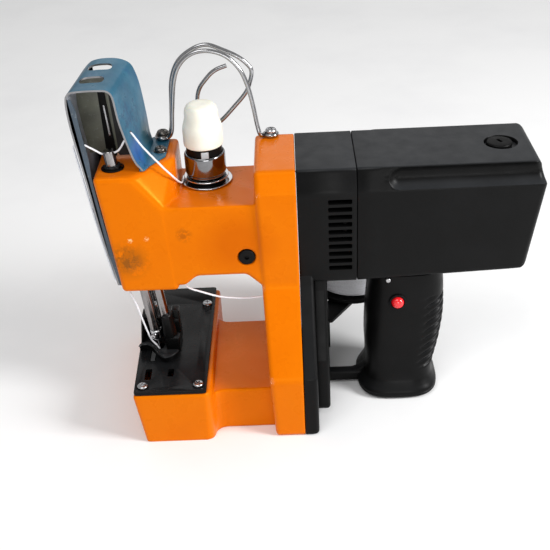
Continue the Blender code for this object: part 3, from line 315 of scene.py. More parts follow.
ENAMEL = enamel()
# The last number of a black plastic is its painted sheen on the faces that look up.
HOUSING = black_plastic("housing_plastic", 8, 0.38, 0.35, 0.42)
HANDLE = black_plastic("handle_plastic", 8, 0.38, 0.35, 0.2)
DARK = black_plastic("dark_plastic", 8, 0.45)
PLATE = black_plastic("blackened_plate", 9, 0.24, 0.12, 0.12)
FOOT = black_plastic("blackened_steel", 9, 0.26, 0.12, 0.25)
CHROME = bright_metal("chrome", 196, 0.07, (1, 1, 0.1))
# Painted shade: the cup's chrome is a darker copy of the chrome, standing in for the dark surroundings it
# reflects.
CUP = bright_metal("cup_chrome", 128, 0.10, (1, 1, 0.1))
BAR = bright_metal("ground_bar", 146, 0.16, (1, 1, 0.1), (2, 0, 0))
WIRE = bright_metal("hanger_chrome", 162, 0.14)
STEEL = bright_metal("machined_steel", 176, 0.28)
SCREW = bright_metal("screw_steel", 182, 0.20)
DARK_SCREW = bright_metal("dark_screw", 104, 0.28, tint=(4, 0, -4))
LAMINATED = bright_metal("laminated_steel", 120, 0.45, (0.1, 1, 1))
WINDING = bright_metal("copper_winding", 150, 0.35, tint=(40, -20, -60))
FILM = film()
INSIDE = inner_sheet("guard_inside", (168, 174, 184))
# Painted shade: the rim is the inner sheet in a darker blue-grey, standing in for the inner face seen in
# shadow at the leg's near edge.
RIM = inner_sheet("guard_rim", (58, 74, 88))
WALL = inner_sheet("guard_wall", (100, 102, 88))
EDGE = bright_metal("sheet_edge", 150, 0.35)
BROWNED = black_plastic("browned_steel", 48, 0.4, 0.3)
IVORY = moulded("ivory_cap", (238, 236, 222), 0.34, 0.15, 0.25)
RED = moulded("red_button", (228, 26, 34), 0.22, 0.5)
RUBBER = black_plastic("rubber", 12, 0.7, 0.5)
THREAD = cotton("white_thread", (236, 236, 240))
NAVY = black_plastic("navy_plastic", 16, 0.36)
FLOOR = Surface("floor", linear(250, 250, 250), 0.7, specular=0.1)
FLOOR = FLOOR.mottle(6.0, linear(240, 240, 241), 0.5).material


# ---------------------------------------------------------------- mesh helpers

WELD = 1e-4
CREASE = 40.0


def add_object(name, data):
    """A new object in the scene that shows a mesh, a light or a camera."""
    made = bpy.data.objects.new(name, data)
    bpy.context.scene.collection.objects.link(made)
    return made


def make_mesh(name, bm, materials):
    """Turns a bmesh in millimetres into a mesh in metres."""
    bmesh.ops.scale(bm, vec=(MM, MM, MM), verts=bm.verts)
    mesh = bpy.data.meshes.new(name)
    bm.to_mesh(mesh)
    bm.free()
    for material in materials:
        mesh.materials.append(material)
    return mesh


def shade(mesh, angle=CREASE):
    """Smooth shading, with a crease wherever two faces meet at more than an angle in degrees."""
    mesh.shade_smooth()
    mesh.set_sharp_from_angle(angle=math.radians(angle))


def publish(name, bm, materials, body="frame", node=None, replaces=None, slot=None, angle=CREASE):
    """Makes a bmesh in millimetres a piece that rides on a body.

    The piece replaces a CAD node, which it hides; replaces names that node where it is not node. slot is not
    used.
    """
    bmesh.ops.remove_doubles(bm, verts=bm.verts, dist=WELD)
    bmesh.ops.recalc_face_normals(bm, faces=bm.faces)
    mesh = make_mesh(name, bm, materials if isinstance(materials, list) else [materials])
    shade(mesh, angle)
    obj = add_object(name, mesh)
    replaces, slot = replaces or node, slot or node
    if body:
        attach(obj, body)
    if replaces:
        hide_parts(replaces)
    return obj


def modify(obj, kind, **settings):
    """Adds a modifier with its settings."""
    modifier = obj.modifiers.new(kind.lower(), kind)
    for key, value in settings.items():
        setattr(modifier, key, value)


def cut(obj, bodies, material=None):
    """Subtracts bmeshes from a piece and keeps the result as its mesh."""
    for bm in bodies:
        bmesh.ops.recalc_face_normals(bm, faces=bm.faces)
        cutter = add_object("cutter", make_mesh("cutter", bm, [material] if material else []))
        modify(obj, "BOOLEAN", operation="DIFFERENCE", solver="EXACT",
               material_mode="TRANSFER" if material else "INDEX", object=cutter)
        settle(obj)
        bpy.data.objects.remove(cutter)


def settle(obj):
    """Applies a piece's modifiers."""
    graph = bpy.context.evaluated_depsgraph_get()
    graph.update()
    mesh = bpy.data.meshes.new_from_object(obj.evaluated_get(graph))
    obj.modifiers.clear()
    obj.data = mesh
    shade(mesh)


def loft(rings, material_of=None):
    """A closed skin over rings of points; material_of(i) is the material's index along side i."""
    bm = bmesh.new()
    rows = [[bm.verts.new(point) for point in ring] for ring in rings]
    count = len(rows[0])
    for low, high in zip(rows, rows[1:]):
        for i in range(count):
            j = (i + 1) % count
            face = bm.faces.new((low[i], low[j], high[j], high[i]))
            if material_of:
                face.material_index = material_of(i)
    for row in (rows[0], rows[-1]):
        bm.faces.new(row)
    return bm


def turned(profile, base, axis, count):
    """Turns (radius, height) points about a line; a profile off the axis is closed into a ring."""
    axis = Vector(axis).normalized()
    side = axis.orthogonal().normalized()
    third = axis.cross(side)
    base = Vector(base)
    bm = bmesh.new()
    rows = []
    for radius, height in profile:
        row = []
        for i in range(count if radius > 0 else 1):
            turn = 2 * math.pi * i / count
            row.append(bm.verts.new(base + axis * height + side * radius * math.cos(turn)
                                    + third * radius * math.sin(turn)))
        rows.append(row)
    pairs = list(zip(rows, rows[1:]))
    if profile[0][0] > 0 or profile[-1][0] > 0:
        pairs.append((rows[-1], rows[0]))
    for low, high in pairs:
        if len(low) == len(high) == 1:
            continue
        for i in range(count):
            j = (i + 1) % count
            corners = []
            for vert in (low[i % len(low)], low[j % len(low)], high[j % len(high)], high[i % len(high)]):
                if vert not in corners:
                    corners.append(vert)
            bm.faces.new(corners)
    return bm


def corner_arc(before, here, after, size, steps):
    """Points on a curve that cuts a corner, starting and ending a given distance from it."""
    start = here + (before - here).normalized() * size
    end = here + (after - here).normalized() * size
    return [(1 - t) ** 2 * start + 2 * t * (1 - t) * here + t * t * end
            for t in (i / steps for i in range(steps + 1))]


def soften(profile, radius, steps=3):
    """Rounds the corners of an open (radius, height) profile."""
    points = [Vector(p) for p in profile]
    result = [points[0]]
    for before, here, after in zip(points, points[1:], points[2:]):
        size = min(radius, (before - here).length * 0.45, (after - here).length * 0.45)
        result += corner_arc(before, here, after, size, steps)
    result.append(points[-1])
    return [(max(0, p.x), p.y) for p in result]


def round_outline(points, radii, steps):
    """Rounds a closed outline by a radius for each corner."""
    result = []
    for i, here in enumerate(points):
        before, after = points[i - 1], points[(i + 1) % len(points)]
        back, on = before - here, after - here
        half = max(0.05, 0.5 * back.angle(on))
        size = min(radii[i] / math.tan(half), back.length * 0.48, on.length * 0.48)
        result += corner_arc(before, here, after, size, steps)
    return result


def shrink(corners, distance):
    """Moves every side of a closed outline in by a distance."""
    points = [Vector(p) for p in corners]
    area = sum(a.x * b.y - b.x * a.y for a, b in zip(points, points[1:] + points[:1]))
    sign = 1.0 if area > 0 else -1.0
    result = []
    for i, here in enumerate(points):
        before = (here - points[i - 1]).normalized()
        after = (points[(i + 1) % len(points)] - here).normalized()
        normal_a = Vector((-before.y, before.x)) * sign
        normal_b = Vector((-after.y, after.x)) * sign
        bisector = (normal_a + normal_b).normalized()
        result.append(here + bisector * distance / max(0.25, bisector.dot(normal_a)))
    return result


# Puts outline coordinates a, b and the distance c along an axis into (x, y, z).
PLACE = {"X": lambda a, b, c: (c, a, b), "Y": lambda a, b, c: (a, c, b), "Z": lambda a, b, c: (a, b, c)}


RIM_STEPS = 4


def soft_prism(corners, low, high, axis, corner, edges, steps=6):
    """An outline pushed along an axis, its corners and its two rims rounded.

    corner is one radius or one for each corner; edges are the rims' radii at the low and the high end.
    """
    place = PLACE[axis]
    radii = corner if isinstance(corner, list) else [corner] * len(corners)
    rings = []
    for end, edge in ((low, edges[0]), (high, edges[1])):
        turn = 1.0 if end == low else -1.0
        group = []
        for k in range(RIM_STEPS + 1):
            angle = 0.5 * math.pi * k / RIM_STEPS
            inset = edge * (1.0 - math.sin(angle))
            shift = edge * (1.0 - math.cos(angle))
            outline = round_outline(shrink(corners, inset), [max(0.15, r - inset) for r in radii], steps)
            group.append([place(p.x, p.y, end + turn * shift) for p in outline])
        rings.extend(group if end == low else reversed(group))
    return loft(rings)


def box_outline(low, high):
    """The four corners between a lowest and a highest one."""
    return [(low[0], low[1]), (high[0], low[1]), (high[0], high[1]), (low[0], high[1])]


def catmull_rom(points, steps):
    """A smooth line through points, with the same number of steps between each two."""
    guides = [2 * points[0] - points[1], *points, 2 * points[-1] - points[-2]]
    line = []
    for a, b, c, d in zip(guides, guides[1:], guides[2:], guides[3:]):
        for i in range(steps):
            t = i / steps
            line.append(0.5 * (2 * b + (c - a) * t + (2 * a - 5 * b + 4 * c - d) * t ** 2
                               + (3 * b - a - 3 * c + d) * t ** 3))
    return line + [points[-1]]


def smooth_path(points, spacing):
    """Points on a smooth line, at least a spacing apart."""
    dense = catmull_rom([Vector(p) for p in points], 24)
    path, wait = [dense[0]], 0.0
    for a, b in zip(dense, dense[1:]):
        wait += (b - a).length
        if wait >= spacing:
            path.append(b)
            wait = 0.0
    return path


def sweep(path, section):
    """A skin along a path. section(distance) gives (a, b) offsets in the plane across it."""
    last = len(path) - 1
    tangents = [(path[min(i + 1, last)] - path[max(i - 1, 0)]).normalized() for i in range(last + 1)]
    side = tangents[0].orthogonal().normalized()
    rings, distance = [], 0.0
    for i, (point, tangent) in enumerate(zip(path, tangents)):
        if i:
            distance += (point - path[i - 1]).length
        side = (side - tangent * side.dot(tangent)).normalized()
        third = tangent.cross(side)
        rings.append([point + side * a + third * b for a, b in section(distance)])
    return loft(rings)


def round_section(radius):
    """The same circle all the way along."""
    count = 16
    ring = [(radius * math.cos(2 * math.pi * i / count), radius * math.sin(2 * math.pi * i / count))
            for i in range(count)]
    return lambda distance: ring


def twisted_section(radius):
    """Three plies laid round each other."""
    pitch, count = 3.2, 15

    def section(distance):
        ring = []
        for i in range(count):
            angle = 2 * math.pi * i / count
            lobe = abs(math.cos(1.5 * (angle - 2 * math.pi * distance / pitch)))
            size = radius * (0.74 + 0.26 * lobe)
            ring.append((size * math.cos(angle), size * math.sin(angle)))
        return ring
    return section


def ease(low, high, value):
    """Runs smoothly from 0 at the low value to 1 at the high one."""
    t = min(1, max(0, (value - low) / (high - low)))
    return t * t * (3 - 2 * t)


def needle_point(z, offset=0):
    """The point at a height on the needle bar's line, or on one beside it."""
    return (NEEDLE_FOOT_X + offset - NEEDLE_LEAN * z, NEEDLE_Y, z)


NEEDLE_AXIS = Vector((-NEEDLE_LEAN, 0, 1)).normalized()


def up_needle(profile):
    """Makes the heights in a profile distances along the needle bar's line."""
    return [(radius, z / NEEDLE_AXIS.z) for radius, z in profile]


def turn_about(bm, place, degrees):
    """Turns a bmesh about the upright axis at the origin and moves it to a place."""
    matrix = Matrix.Translation(place) @ Matrix.Rotation(math.radians(degrees), 4, "Z")
    bmesh.ops.transform(bm, matrix=matrix, verts=bm.verts)
    return bm


# ---------------------------------------------------------------- pieces

def lathe(name, profile, place, material, rounding=0.3, axis=UP, count=48, **ties):
    """Publishes a piece turned about a line, the corners of its profile rounded."""
    return publish(name, turned(soften(profile, rounding), place, axis, count), material, **ties)


def leaning(name, profile, material, rounding=0.3, count=56, offset=0, **ties):
    """Publishes a piece turned about the needle bar's line or one beside it."""
    place = needle_point(0, offset)
    return lathe(name, up_needle(profile), place, material, rounding, NEEDLE_AXIS, count, **ties)


def pan_screw(name, place, radius, height, node, spin, washer=0, metal=SCREW):
    """A cross-recessed pan head, on a washer where it has one."""
    head = [(0, 0), (radius, 0), (radius, height * 0.45), (radius * 0.82, height * 0.85),
            (radius * 0.45, height), (0, height)]
    screw = lathe(name, head, place, metal, 0.35, replaces=node)
    cross = box_outline((-radius * 0.52, -0.42), (radius * 0.52, 0.42))
    blades = []
    for turn in (spin, spin + 90):
        blade = soft_prism(cross, height * 0.3, height + 1, "Z", 0.2, (0.05, 0.05), 2)
        blades.append(turn_about(blade, place, turn))
    cut(screw, blades)
    if washer:
        ring = [(0, -0.9), (washer, -0.9), (washer, -0.05), (0, -0.05)]
        lathe(f"{name}_washer", ring, place, metal, 0.25)


# Start, end and reach of the casting's broadest corners: the slope's crease and the block's right corner.
SOFT_CREASES = (((-14.4, -33, 191.8), (5.6, -33, 168.2), 5),
                ((27.8, -66, 4), (27.8, -66, 39), 4))
SMOOTHING_PASSES = 30


def soften_creases(obj):
    """Rounds the casting's broad corners more than its other edges."""
    bm = bmesh.new()
    bm.from_mesh(obj.data)
    for start, end, reach in SOFT_CREASES:
        start, end = Vector(start) * MM, Vector(end) * MM
        run = end - start
        near = []
        for vert in bm.verts:
            share = min(1, max(0, (vert.co - start).dot(run) / run.length_squared))
            if (vert.co - start - run * share).length < reach * MM:
                near.append(vert)
        for _ in range(SMOOTHING_PASSES):
            bmesh.ops.smooth_vert(bm, verts=near, factor=0.5, use_axis_x=True, use_axis_y=True,
                                  use_axis_z=True)
    bm.to_mesh(obj.data)
    bm.free()


def make_casting():
    """The casting's own shape, its edges and inner corners worn round as a sand casting's are."""
    casting = add_object("casting_body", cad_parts["frame_casting"].data.copy())
    modify(casting, "REMESH", mode="VOXEL", voxel_size=0.62 * MM)
    modify(casting, "SMOOTH", factor=0.6, iterations=9)
    modify(casting, "DECIMATE", ratio=0.22)
    settle(casting)
    soften_creases(casting)
    casting.data.materials.clear()
    casting.data.materials.append(ENAMEL)
    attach(casting, "frame")
    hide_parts("frame_casting")


def make_bed():
    """The needle plate with its slots and screws, and the plug in the arm."""
    outline = [(-26.2, -67.6), (24.3, -67.6), (24.9, 66.2), (-29.6, 66.2)]
    plate = publish("needle_plate_body", soft_prism(outline, 41.5, PLATE_TOP, "Z", 2.2, (0.3, 0.5)), PLATE,
                    node="needle_plate")
    under, over = 38, 48
    cutters = []
    for x, half, low, high in ((-16.6, 2.1, -31.5, 8), (-6.6, 2.1, -31.5, 8), (-18, 2.4, -53, -40.5),
                               (-2, 2.2, -50, -41), (-11.6, 1.3, -21, -13)):
        slot = box_outline((x - half, low), (x + half, high))
        cutters.append(soft_prism(slot, under, over, "Z", 1.2, (0.1, 0.1), 4))
    sink = [(0, under), (2.4, under), (2.4, PLATE_TOP - 0.9), (4.4, PLATE_TOP + 0.6), (4.4, over), (0, over)]
    cutters += [turned(sink, (x, y, 0), UP, 32) for x, y in PLATE_SCREWS]
    cut(plate, cutters, DARK)
    for i, (x, y) in enumerate(PLATE_SCREWS):
        pan_screw(f"plate_screw_head_{i + 1}", (x, y, PLATE_TOP + 0.3), 3.7, 1.7, f"plate_screw_{i + 1}",
                  15 + 40 * i)
    button = [(0, 0), (5, 0), (5.55, 0.5), (5.6, 3.2), (0, 3.2)]
    plug = lathe("arm_plug_body", button, ARM_PLUG, DARK, 0.5, ACROSS, node="arm_plug")
    cut(plug, [turned([(0, -1), (1.6, -1), (1.6, 1.4), (0, 1.4)], ARM_PLUG, ACROSS, 24)])


# The guard sheet's outer line in (x, z) at its near and far rims, from the left leg over to the head.
GUARD_NEAR = ((-34.4, 106), (-40.9, 146.5), (-45.6, 190), (-49, 218), (-50.3, 234), (-50, 243),
              (-48.7, 246.3), (-46.6, 248.1), (-44, 248.6), (-36.2, 249), (-26, 248.8), (-22.6, 247.9),
              (-20.4, 245.8), (-19.2, 241.5), (-17.4, 226), (-12.7, 206), (-10.2, 198.6), (-7.8, 195.2),
              (-6.4, 192.9))
GUARD_FAR = ((-34.4, 106), (-40.9, 146.5), (-45.4, 190), (-48.4, 218), (-48.9, 233), (-46.2, 244.4),
             (-43.4, 248.4), (-40.2, 251.3), (-37.2, 252.8), (-31.5, 253.8), (-23.9, 253.7), (-18.3, 252.4),
             (-13.9, 249.7), (-11.5, 245), (-9, 234.3), (-7, 214.6), (-6.3, 203), (-5.4, 197.4),
             (-4.5, 192.9))
GUARD_Y = (-25, 20)
WALL_Y = 1.4
SHEET = 1.2


def guard_line(points):
    """A smooth (x, z) line, with the same number of points whatever the spacing of its guides."""
    return [(p.x, p.z) for p in catmull_rom([Vector((x, 0, z)) for x, z in points], 6)]


def guard_section(share):
    """Outer and inner line of the guard sheet part of the way from its near to its far rim."""
    outer = [Vector(a).lerp(Vector(b), share) for a, b in zip(guard_line(GUARD_NEAR), guard_line(GUARD_FAR))]
    inner = []
    for k, here in enumerate(outer):
        along = (outer[min(k + 1, len(outer) - 1)] - outer[max(k - 1, 0)]).normalized()
        inner.append(here + Vector((along.y, -along.x)) * SHEET)
    return outer, inner


# Flat pieces inside the guard: (x, z) outline, low and high Y, corner, rim, steps and finish.
GUARD_INSIDE = (
    ("guard_guide", [(-30.2, 193), (-33.6, 197), (-34, 239.5), (-29.6, 239.5), (-26.8, 193)],
     WALL_Y - 1.8, WALL_Y - 0.7, 0.6, 0.2, 6, DARK),
    ("guard_guide_rod", [(-31.7, 229.5), (-30.4, 229.5), (-29, 208), (-30.3, 208)],
     WALL_Y - 2.6, WALL_Y - 1.6, 0.5, 0.3, 4, STEEL),
    ("guard_guide_side", [(-25.4, 193.2), (-27.2, 236), (-20, 240), (-14.4, 212), (-12, 193.2)],
     WALL_Y - 1.4, WALL_Y - 0.7, 0.6, 0.2, 6, BROWNED),
    ("guard_leg_rib", [(-48.2, 228), (-47.4, 228), (-45, 203), (-45.8, 203)],
     -12, -9.6, 0.3, 0.2, 3, EDGE),
)
LEG_GUIDES = 31


def make_guard_sheet():
    """The bent sheet with film on its outside, and the windows in it."""
    rings = []
    ribs = 12
    for i in range(ribs + 1):
        share = i / ribs
        y = GUARD_Y[0] + (GUARD_Y[1] - GUARD_Y[0]) * share
        outer, inner = guard_section(share)
        rings.append([(p.x, y, p.y) for p in outer] + [(p.x, y, p.y) for p in reversed(inner)])
    count = len(outer)
    film_side, inside, edge = 0, 1, 2

    def side_of(i):
        if i < count - 1:
            return film_side
        return edge if i in (count - 1, 2 * count - 1) else inside

    bm = loft(rings, side_of)
    for face in bm.faces:
        if len(face.verts) > 4:
            face.material_index = edge
    bmesh.ops.triangulate(bm, faces=bm.faces)
    guard = publish("guard_sheet", bm, [FILM, INSIDE, EDGE], node="needle_bar_guard", angle=35)
    windows = []
    for x, y in ((-31.4, 7.6), (-34.3, -10.4)):
        outline = box_outline((x - 7.9, y - 4.4), (x + 7.9, y + 4.4))
        windows.append(soft_prism(outline, 240, 262, "Z", 4.3, (0.1, 0.1), 8))
    windows.append(turned([(0, -6), (1.5, -6), (1.5, 6), (0, 6)], (-13.2, -14.8, 215.2), ALONG, 20))
    cut(guard, windows, EDGE)


def make_guard():
    """The guard sheet, its near rim, its foot, the wall behind the bar and the pieces on it."""
    make_guard_sheet()
    rings = []
    for x, z in guard_line(GUARD_NEAR)[:LEG_GUIDES]:
        width = 1.8 + 1.4 * ease(106, 146, z) + 1.8 * ease(186, 204, z) - 3.0 * ease(234, 246, z)
        low, high = x + 0.5 * SHEET, x + SHEET + width
        rings.append([(low, -24.9, z), (high, -24.9, z), (high, -24.2, z), (low, -24.2, z)])
    publish("guard_leg_rim", loft(rings), RIM, angle=30)

    foot = [(-9.4, -24.8), (-6, -24.8), (-3, -17), (0, -12.4), (6, -4), (6.5, 28.5), (-6, 28.5),
            (-7.4, 19.8)]
    publish("guard_foot", soft_prism(foot, HEAD_TOP_Z + 0.3, HEAD_TOP_Z + 1.5, "Z", [1, 3, 2, 2, 3, 3, 3, 1],
                                     (0.2, 0.4)), FILM)
    outer, inner = guard_section((WALL_Y - GUARD_Y[0]) / (GUARD_Y[1] - GUARD_Y[0]))
    rim = [(p + q) / 2 for p, q in zip(outer, inner) if p.y > HEAD_TOP_Z + 0.4]
    wall = [(p.x, WALL_Y - 0.6, p.y) for p in rim]
    publish("guard_back", loft([wall, [(x, y + 1.2, z) for x, y, z in wall]]), WALL)
    for name, outline, low, high, corner, edge, steps, finish in GUARD_INSIDE:
        publish(name, soft_prism(outline, low, high, "Y", corner, (edge, edge), steps), finish)
    seat = HEAD_TOP_Z + 2.1
    near, far = GUARD_SCREWS
    pan_screw("guard_screw_near_head", (*near, seat), 3.9, 2.4, "guard_screw_near", 10, 4.7, DARK_SCREW)
    pan_screw("guard_screw_far_head", (*far, seat + 3.3), 4.1, 2.6, "guard_screw_far", 35, 4.9, DARK_SCREW)


def loop_points(centre, radius, start, swing, z):
    """Points on a level arc; start and swing in degrees."""
    points, steps = [], 6
    for i in range(steps + 1):
        angle = math.radians(start + swing * i / steps)
        points.append((centre[0] + radius * math.cos(angle), centre[1] + radius * math.sin(angle), z))
    return points


def make_hanger():
    """One bent wire: a loop under each of two screws, two legs over the head and an open eye."""
    seat = PILLAR_TOP + 0.3 + WIRE_R
    low = HEAD_TOP_Z + 0.6 + SHEET + WIRE_R
    front = [(69.4, 21.4, 193.9), (67.4, 21.6, 201), (65.4, 23, 214), (62.4, 24, 228.5),
             (57.5, 24, 241), (48.8, 24, 250.3), (37.5, 24, 254.2), (27, 24, 252.8),
             (18.6, 23.5, 246.4), (13.6, 23, 235.4), (10.4, 22, 214.5), (8.6, 21, 199.5)]
    back = [(7.6, 28.6, 199), (9, 31, 214.5), (10.6, 33, 232), (16, 33, 244.6),
            (25.6, 33, 252.4), (36, 33, 255.4), (46.8, 33, 251.4), (56.8, 33, 246),
            (63.2, 33, 240), (65.2, 33, 235.6), (64, 33, 229)]
    eye = [(60.4, 33, 220.6), (51, 33, 209.9), (42.4, 33, 201.2), (36.4, 32.4, 198),
           (30.8, 31.6, 201.8), (27.8, 30.8, 210.5), (27.4, 30, 219.4), (29.6, 30, 226.6),
           (33.7, 30, 232), (38.1, 30, 236.6), (42.6, 30, 239.4), (49.6, 30, 241.8)]
    path = (loop_points(HANGER_SCREW, 4, 150, -290, seat)[::-1] + front
            + loop_points(GUARD_SCREWS[1], 4.2, -40, -280, low) + back + eye)
    publish("hanger_wire", sweep(smooth_path(path, 1.1), round_section(WIRE_R)), WIRE, node="wire_hanger",
            angle=60)
    pan_screw("hanger_screw_head", (*HANGER_SCREW, seat + 1.8), 3.9, 2.5, "hanger_screw", 25)


def make_tension():
    """The tension unit's discs, felt, cup, tabs and cap, from the bottom up."""
    base = (*TENSION, 0)
    floor = 168.5
    lathe("disc_lower", [(3.3, floor), (17, floor), (17.9, floor + 0.6), (17.6, floor + 1.4),
                         (14, floor + 1.2), (3.3, floor + 1.2)],
          base, CHROME, 0.3, count=96, node="tension_disc_lower")
    lathe("disc_upper", [(3.3, floor + 3.2), (13, floor + 3.2), (15.4, floor + 3.9), (15.2, floor + 4.7),
                         (12.5, floor + 4.2), (3.3, floor + 4.2)],
          base, CHROME, 0.25, count=96, node="tension_disc_upper")
    lathe("disc_felt", [(3.3, floor + 1.4), (12.6, floor + 1.4), (12.9, floor + 3), (3.3, floor + 3)],
          base, DARK, 0.3, count=64)
    cup = [(3.6, 173.8), (12.9, 173.8), (13.4, 174.4), (13.3, 175.6), (13.9, 176.2), (14, 177),
           (14, 188.4), (13.7, 189.6), (13, 190), (12.4, 190), (12.4, 176), (3.6, 176)]
    lathe("cup_body", cup, base, CUP, 0.35, count=96, node="tension_cup", angle=60)
    lathe("cup_band", [(5, 189.4), (12.1, 189.4), (12.2, 195), (5, 195)], base, DARK, 0.2, count=72)
    for i, turn in enumerate((-174, 6)):
        tab = soft_prism(box_outline((-2.6, 12), (2.6, 12.9)), 188.6, 194.4, "Z", 0.3, (0.2, 0.2), 3)
        publish(f"cup_tab_{i + 1}", turn_about(tab, base, turn), STEEL)
    cap = [(0, 210), (3.3, 210), (3.3, 195.2), (12.4, 195.2), (13.3, 195.9), (13.5, 198),
           (13.5, 206), (13.1, 209.5), (12.1, 212.2), (11.5, 214.6), (11.3, 218), (11, 220.6),
           (10, 223), (7.8, 224.3), (4.5, 224.7), (0, 224.6)]
    publish("cap_body", turned(soften(cap, 1.6, 5), base, UP, 72), IVORY, "cap", "tension_cap", angle=60)


def make_needle_end():
    """Needle bar, clamp, needle, bushes and presser bar, all on leaning lines."""
    bar = [(0, 63.5), (4, 63.5), (4, 113.5), (5, 113.5), (5, 124.5), (4, 124.5), (4, 204),
           (3.4, 204.8), (0, 204.8)]
    leaning("needle_bar_body", bar, BAR, 0.35, 64, body="needle_bar", node="needle_bar")
    stud = [(0, 0), (2.5, 0), (2.5, 12), (0, 12)]
    publish("needle_bar_stud", turned(stud, needle_point(119), ACROSS, 32), STEEL, "needle_bar")
    clamp = [(0, 54.5), (1.6, 54.5), (3.3, 54.9), (4.3, 56.6), (4.3, 62.4), (4, 63.3), (0, 63.3)]
    leaning("needle_clamp_body", clamp, CHROME, count=48, body="needle_bar", node="needle_clamp")
    place, aim = needle_point(59.6), (-0.3, -1, 0)
    pin = [(0, 2), (1.8, 2), (1.8, 6.6), (0, 6.6)]
    screw = lathe("needle_clamp_screw", pin, place, SCREW, 0.3, aim, 24, body="needle_bar")
    cut(screw, [turned([(0, 5.4), (0.9, 5.4), (0.9, 8), (0, 8)], place, aim, 6)])
    shank = [(0, 30), (0.35, 32), (0.8, 36), (0.85, 49), (1, 50.5), (1, 58), (0, 58)]
    publish("needle_body", turned(up_needle(shank), needle_point(0), NEEDLE_AXIS, 24), CHROME, "needle_bar",
            "needle")
    for name, radius, low, high in (("upper", 6, 187.2, 194.5), ("lower", 5.2, 103.6, 110.5)):
        bush = [(4.1, low), (radius, low), (radius, high - 0.7), (radius - 0.8, high), (4.1, high)]
        leaning(f"bush_{name}", bush, FOOT, node=f"needle_bar_bush_{name}")
    collar = [(6.6, 191.9), (7.6, 191.9), (7.6, 192.6), (6.6, 193.1)]
    lathe("bush_collar", collar, (needle_point(192)[0], NEEDLE_Y, 0), DARK, 0.2, count=56)
    presser = [(0, 62), (2.6, 62), (3.5, 63.2), (3.5, 122), (3.8, 122.4), (3.8, 126), (2.2, 126),
               (2.2, 177), (0, 177)]
    leaning("presser_bar_body", presser, BAR, offset=PRESSER_OFFSET, body="presser", node="presser_bar")


def make_presser_foot():
    """Formed dark steel: flat sole, curled-up front lip, side wall and a clamp sleeve on the presser bar."""
    fold = [(-26.4, -20.4), (-24, -18), (-20, -18.2), (-16, -22.4), (-12.4, -28.6), (-8.8, -33),
            (-5, -34.4), (-1.8, -33), (1.6, -28.8)]
    lip = [(-26.6, -24), (-24, -21.8), (-20.2, -21.8), (-15.2, -26.6), (-10.8, -34.2), (-6.8, -38.4),
           (-2.6, -37.6), (0.4, -34.8), (3, -31.2)]
    # How far from the fold to the lip the curl has come, and its height there.
    curl = [(0, 45.4), (0.12, 47.4), (0.22, 49.6), (0.34, 51.3), (0.55, 52.3), (0.8, 52.4), (1, 51.8)]
    rows = []
    for t, z in curl:
        row = [Vector((a + (c - a) * t, b + (d - b) * t, z)) for (a, b), (c, d) in zip(fold, lip)]
        rows.append(smooth_path(row, 0.6))
    count = min(len(row) for row in rows)
    rows = [[row[round(k * (len(row) - 1) / (count - 1))] for k in range(count)] for row in rows]
    rings = []
    for column in zip(*rows):
        inner = [p + Vector((0.2, 1.3, -0.35 if i > 3 else 0.5)) for i, p in enumerate(column)]
        rings.append([tuple(p) for p in column] + [tuple(p) for p in reversed(inner)])
    publish("foot_lip", loft(rings), FOOT, "presser", "presser_foot", angle=30)
    sole = [(-26.4, -19.6)] + [(x, y + 0.9) for x, y in fold[1:]] + [(1.6, 2), (-26.4, 2)]
    sole_body = publish("foot_sole", soft_prism(sole, 45.3, 47.3, "Z", 0.8, (0.2, 0.3), 3), FOOT, "presser")
    cut(sole_body, [soft_prism(box_outline((-17.2, -20.5), (-9, -13.5)), 44, 49, "Z", 2.2, (0.1, 0.1))])
    wall = [(-26.6, 46.4), (-24.4, 46.4), (-22.6, 68.6), (-24.2, 68.6)]
    publish("foot_wall", soft_prism(wall, -12.6, 1.6, "Y", [0.3, 0.3, 1, 1], (0.5, 0.4), 3), FOOT,
            "presser")
    for name, low, high, bottom, top, corner, edges in (
            ("foot_bridge", (-25.6, -2.6), (3, 1.5), 46.4, 62, 1, (0.2, 1.2)),
            ("foot_shank", (-6.9, -22), (3.4, 0), 46.4, 58, 1.6, (0.2, 1.6))):
        publish(name, soft_prism(box_outline(low, high), bottom, top, "Z", corner, edges), FOOT, "presser")
    sleeve = [(3.6, 57), (5.6, 57), (5.8, 58), (5.8, 75), (5.2, 76), (3.6, 76)]
    body = leaning("foot_sleeve", sleeve, FOOT, 0.4, 48, PRESSER_OFFSET, body="presser")
    cut(body, [soft_prism(box_outline((-30, -23), (-7.5, -11)), 50, 80, "Z", 0.5, (0.1, 0.1), 2)])
    lug = box_outline((-1.6, -15.5), (4.2, -7.5))
    publish("foot_lug", soft_prism(lug, 57, 77, "Z", 1.4, (0.3, 1.6)), FOOT, "presser")
    head = [(0, 0), (2.4, 0), (2.4, 1.4), (0, 1.7)]
    lathe("foot_lug_screw", head, (1.2, -15.6, 68), FOOT, 0.4, (0, -1, 0), 32, body="presser")


# ---------------------------------------------------------------- black body

# The hollow along the housing's shoulders: its depth, where its round nose starts and how the nose runs in.
COVE = 4.0
NOSE_START = 152.0
NOSE_ROUND = 6.0
NOSE_RUN = 6.5
COVE_STEPS = 18
LEAST_DIP = 0.0001


def mirrored(half):
    """Closes a half outline in (y, z) with the same half on the other side."""
    return half + [(-y, z) for y, z in reversed(half)]


def cove_depth(x, t):
    """How deep the hollow is at x, part of the way from its lower to its upper edge."""
    across = 1.0 - (2.0 * t - 1) ** 2
    nose = NOSE_START + NOSE_ROUND * (1.0 - math.sqrt(across))
    along = min(1, max(0, (x - nose) / NOSE_RUN))
    return LEAST_DIP + COVE * (across ** 0.8 * math.sin(0.5 * math.pi * along))


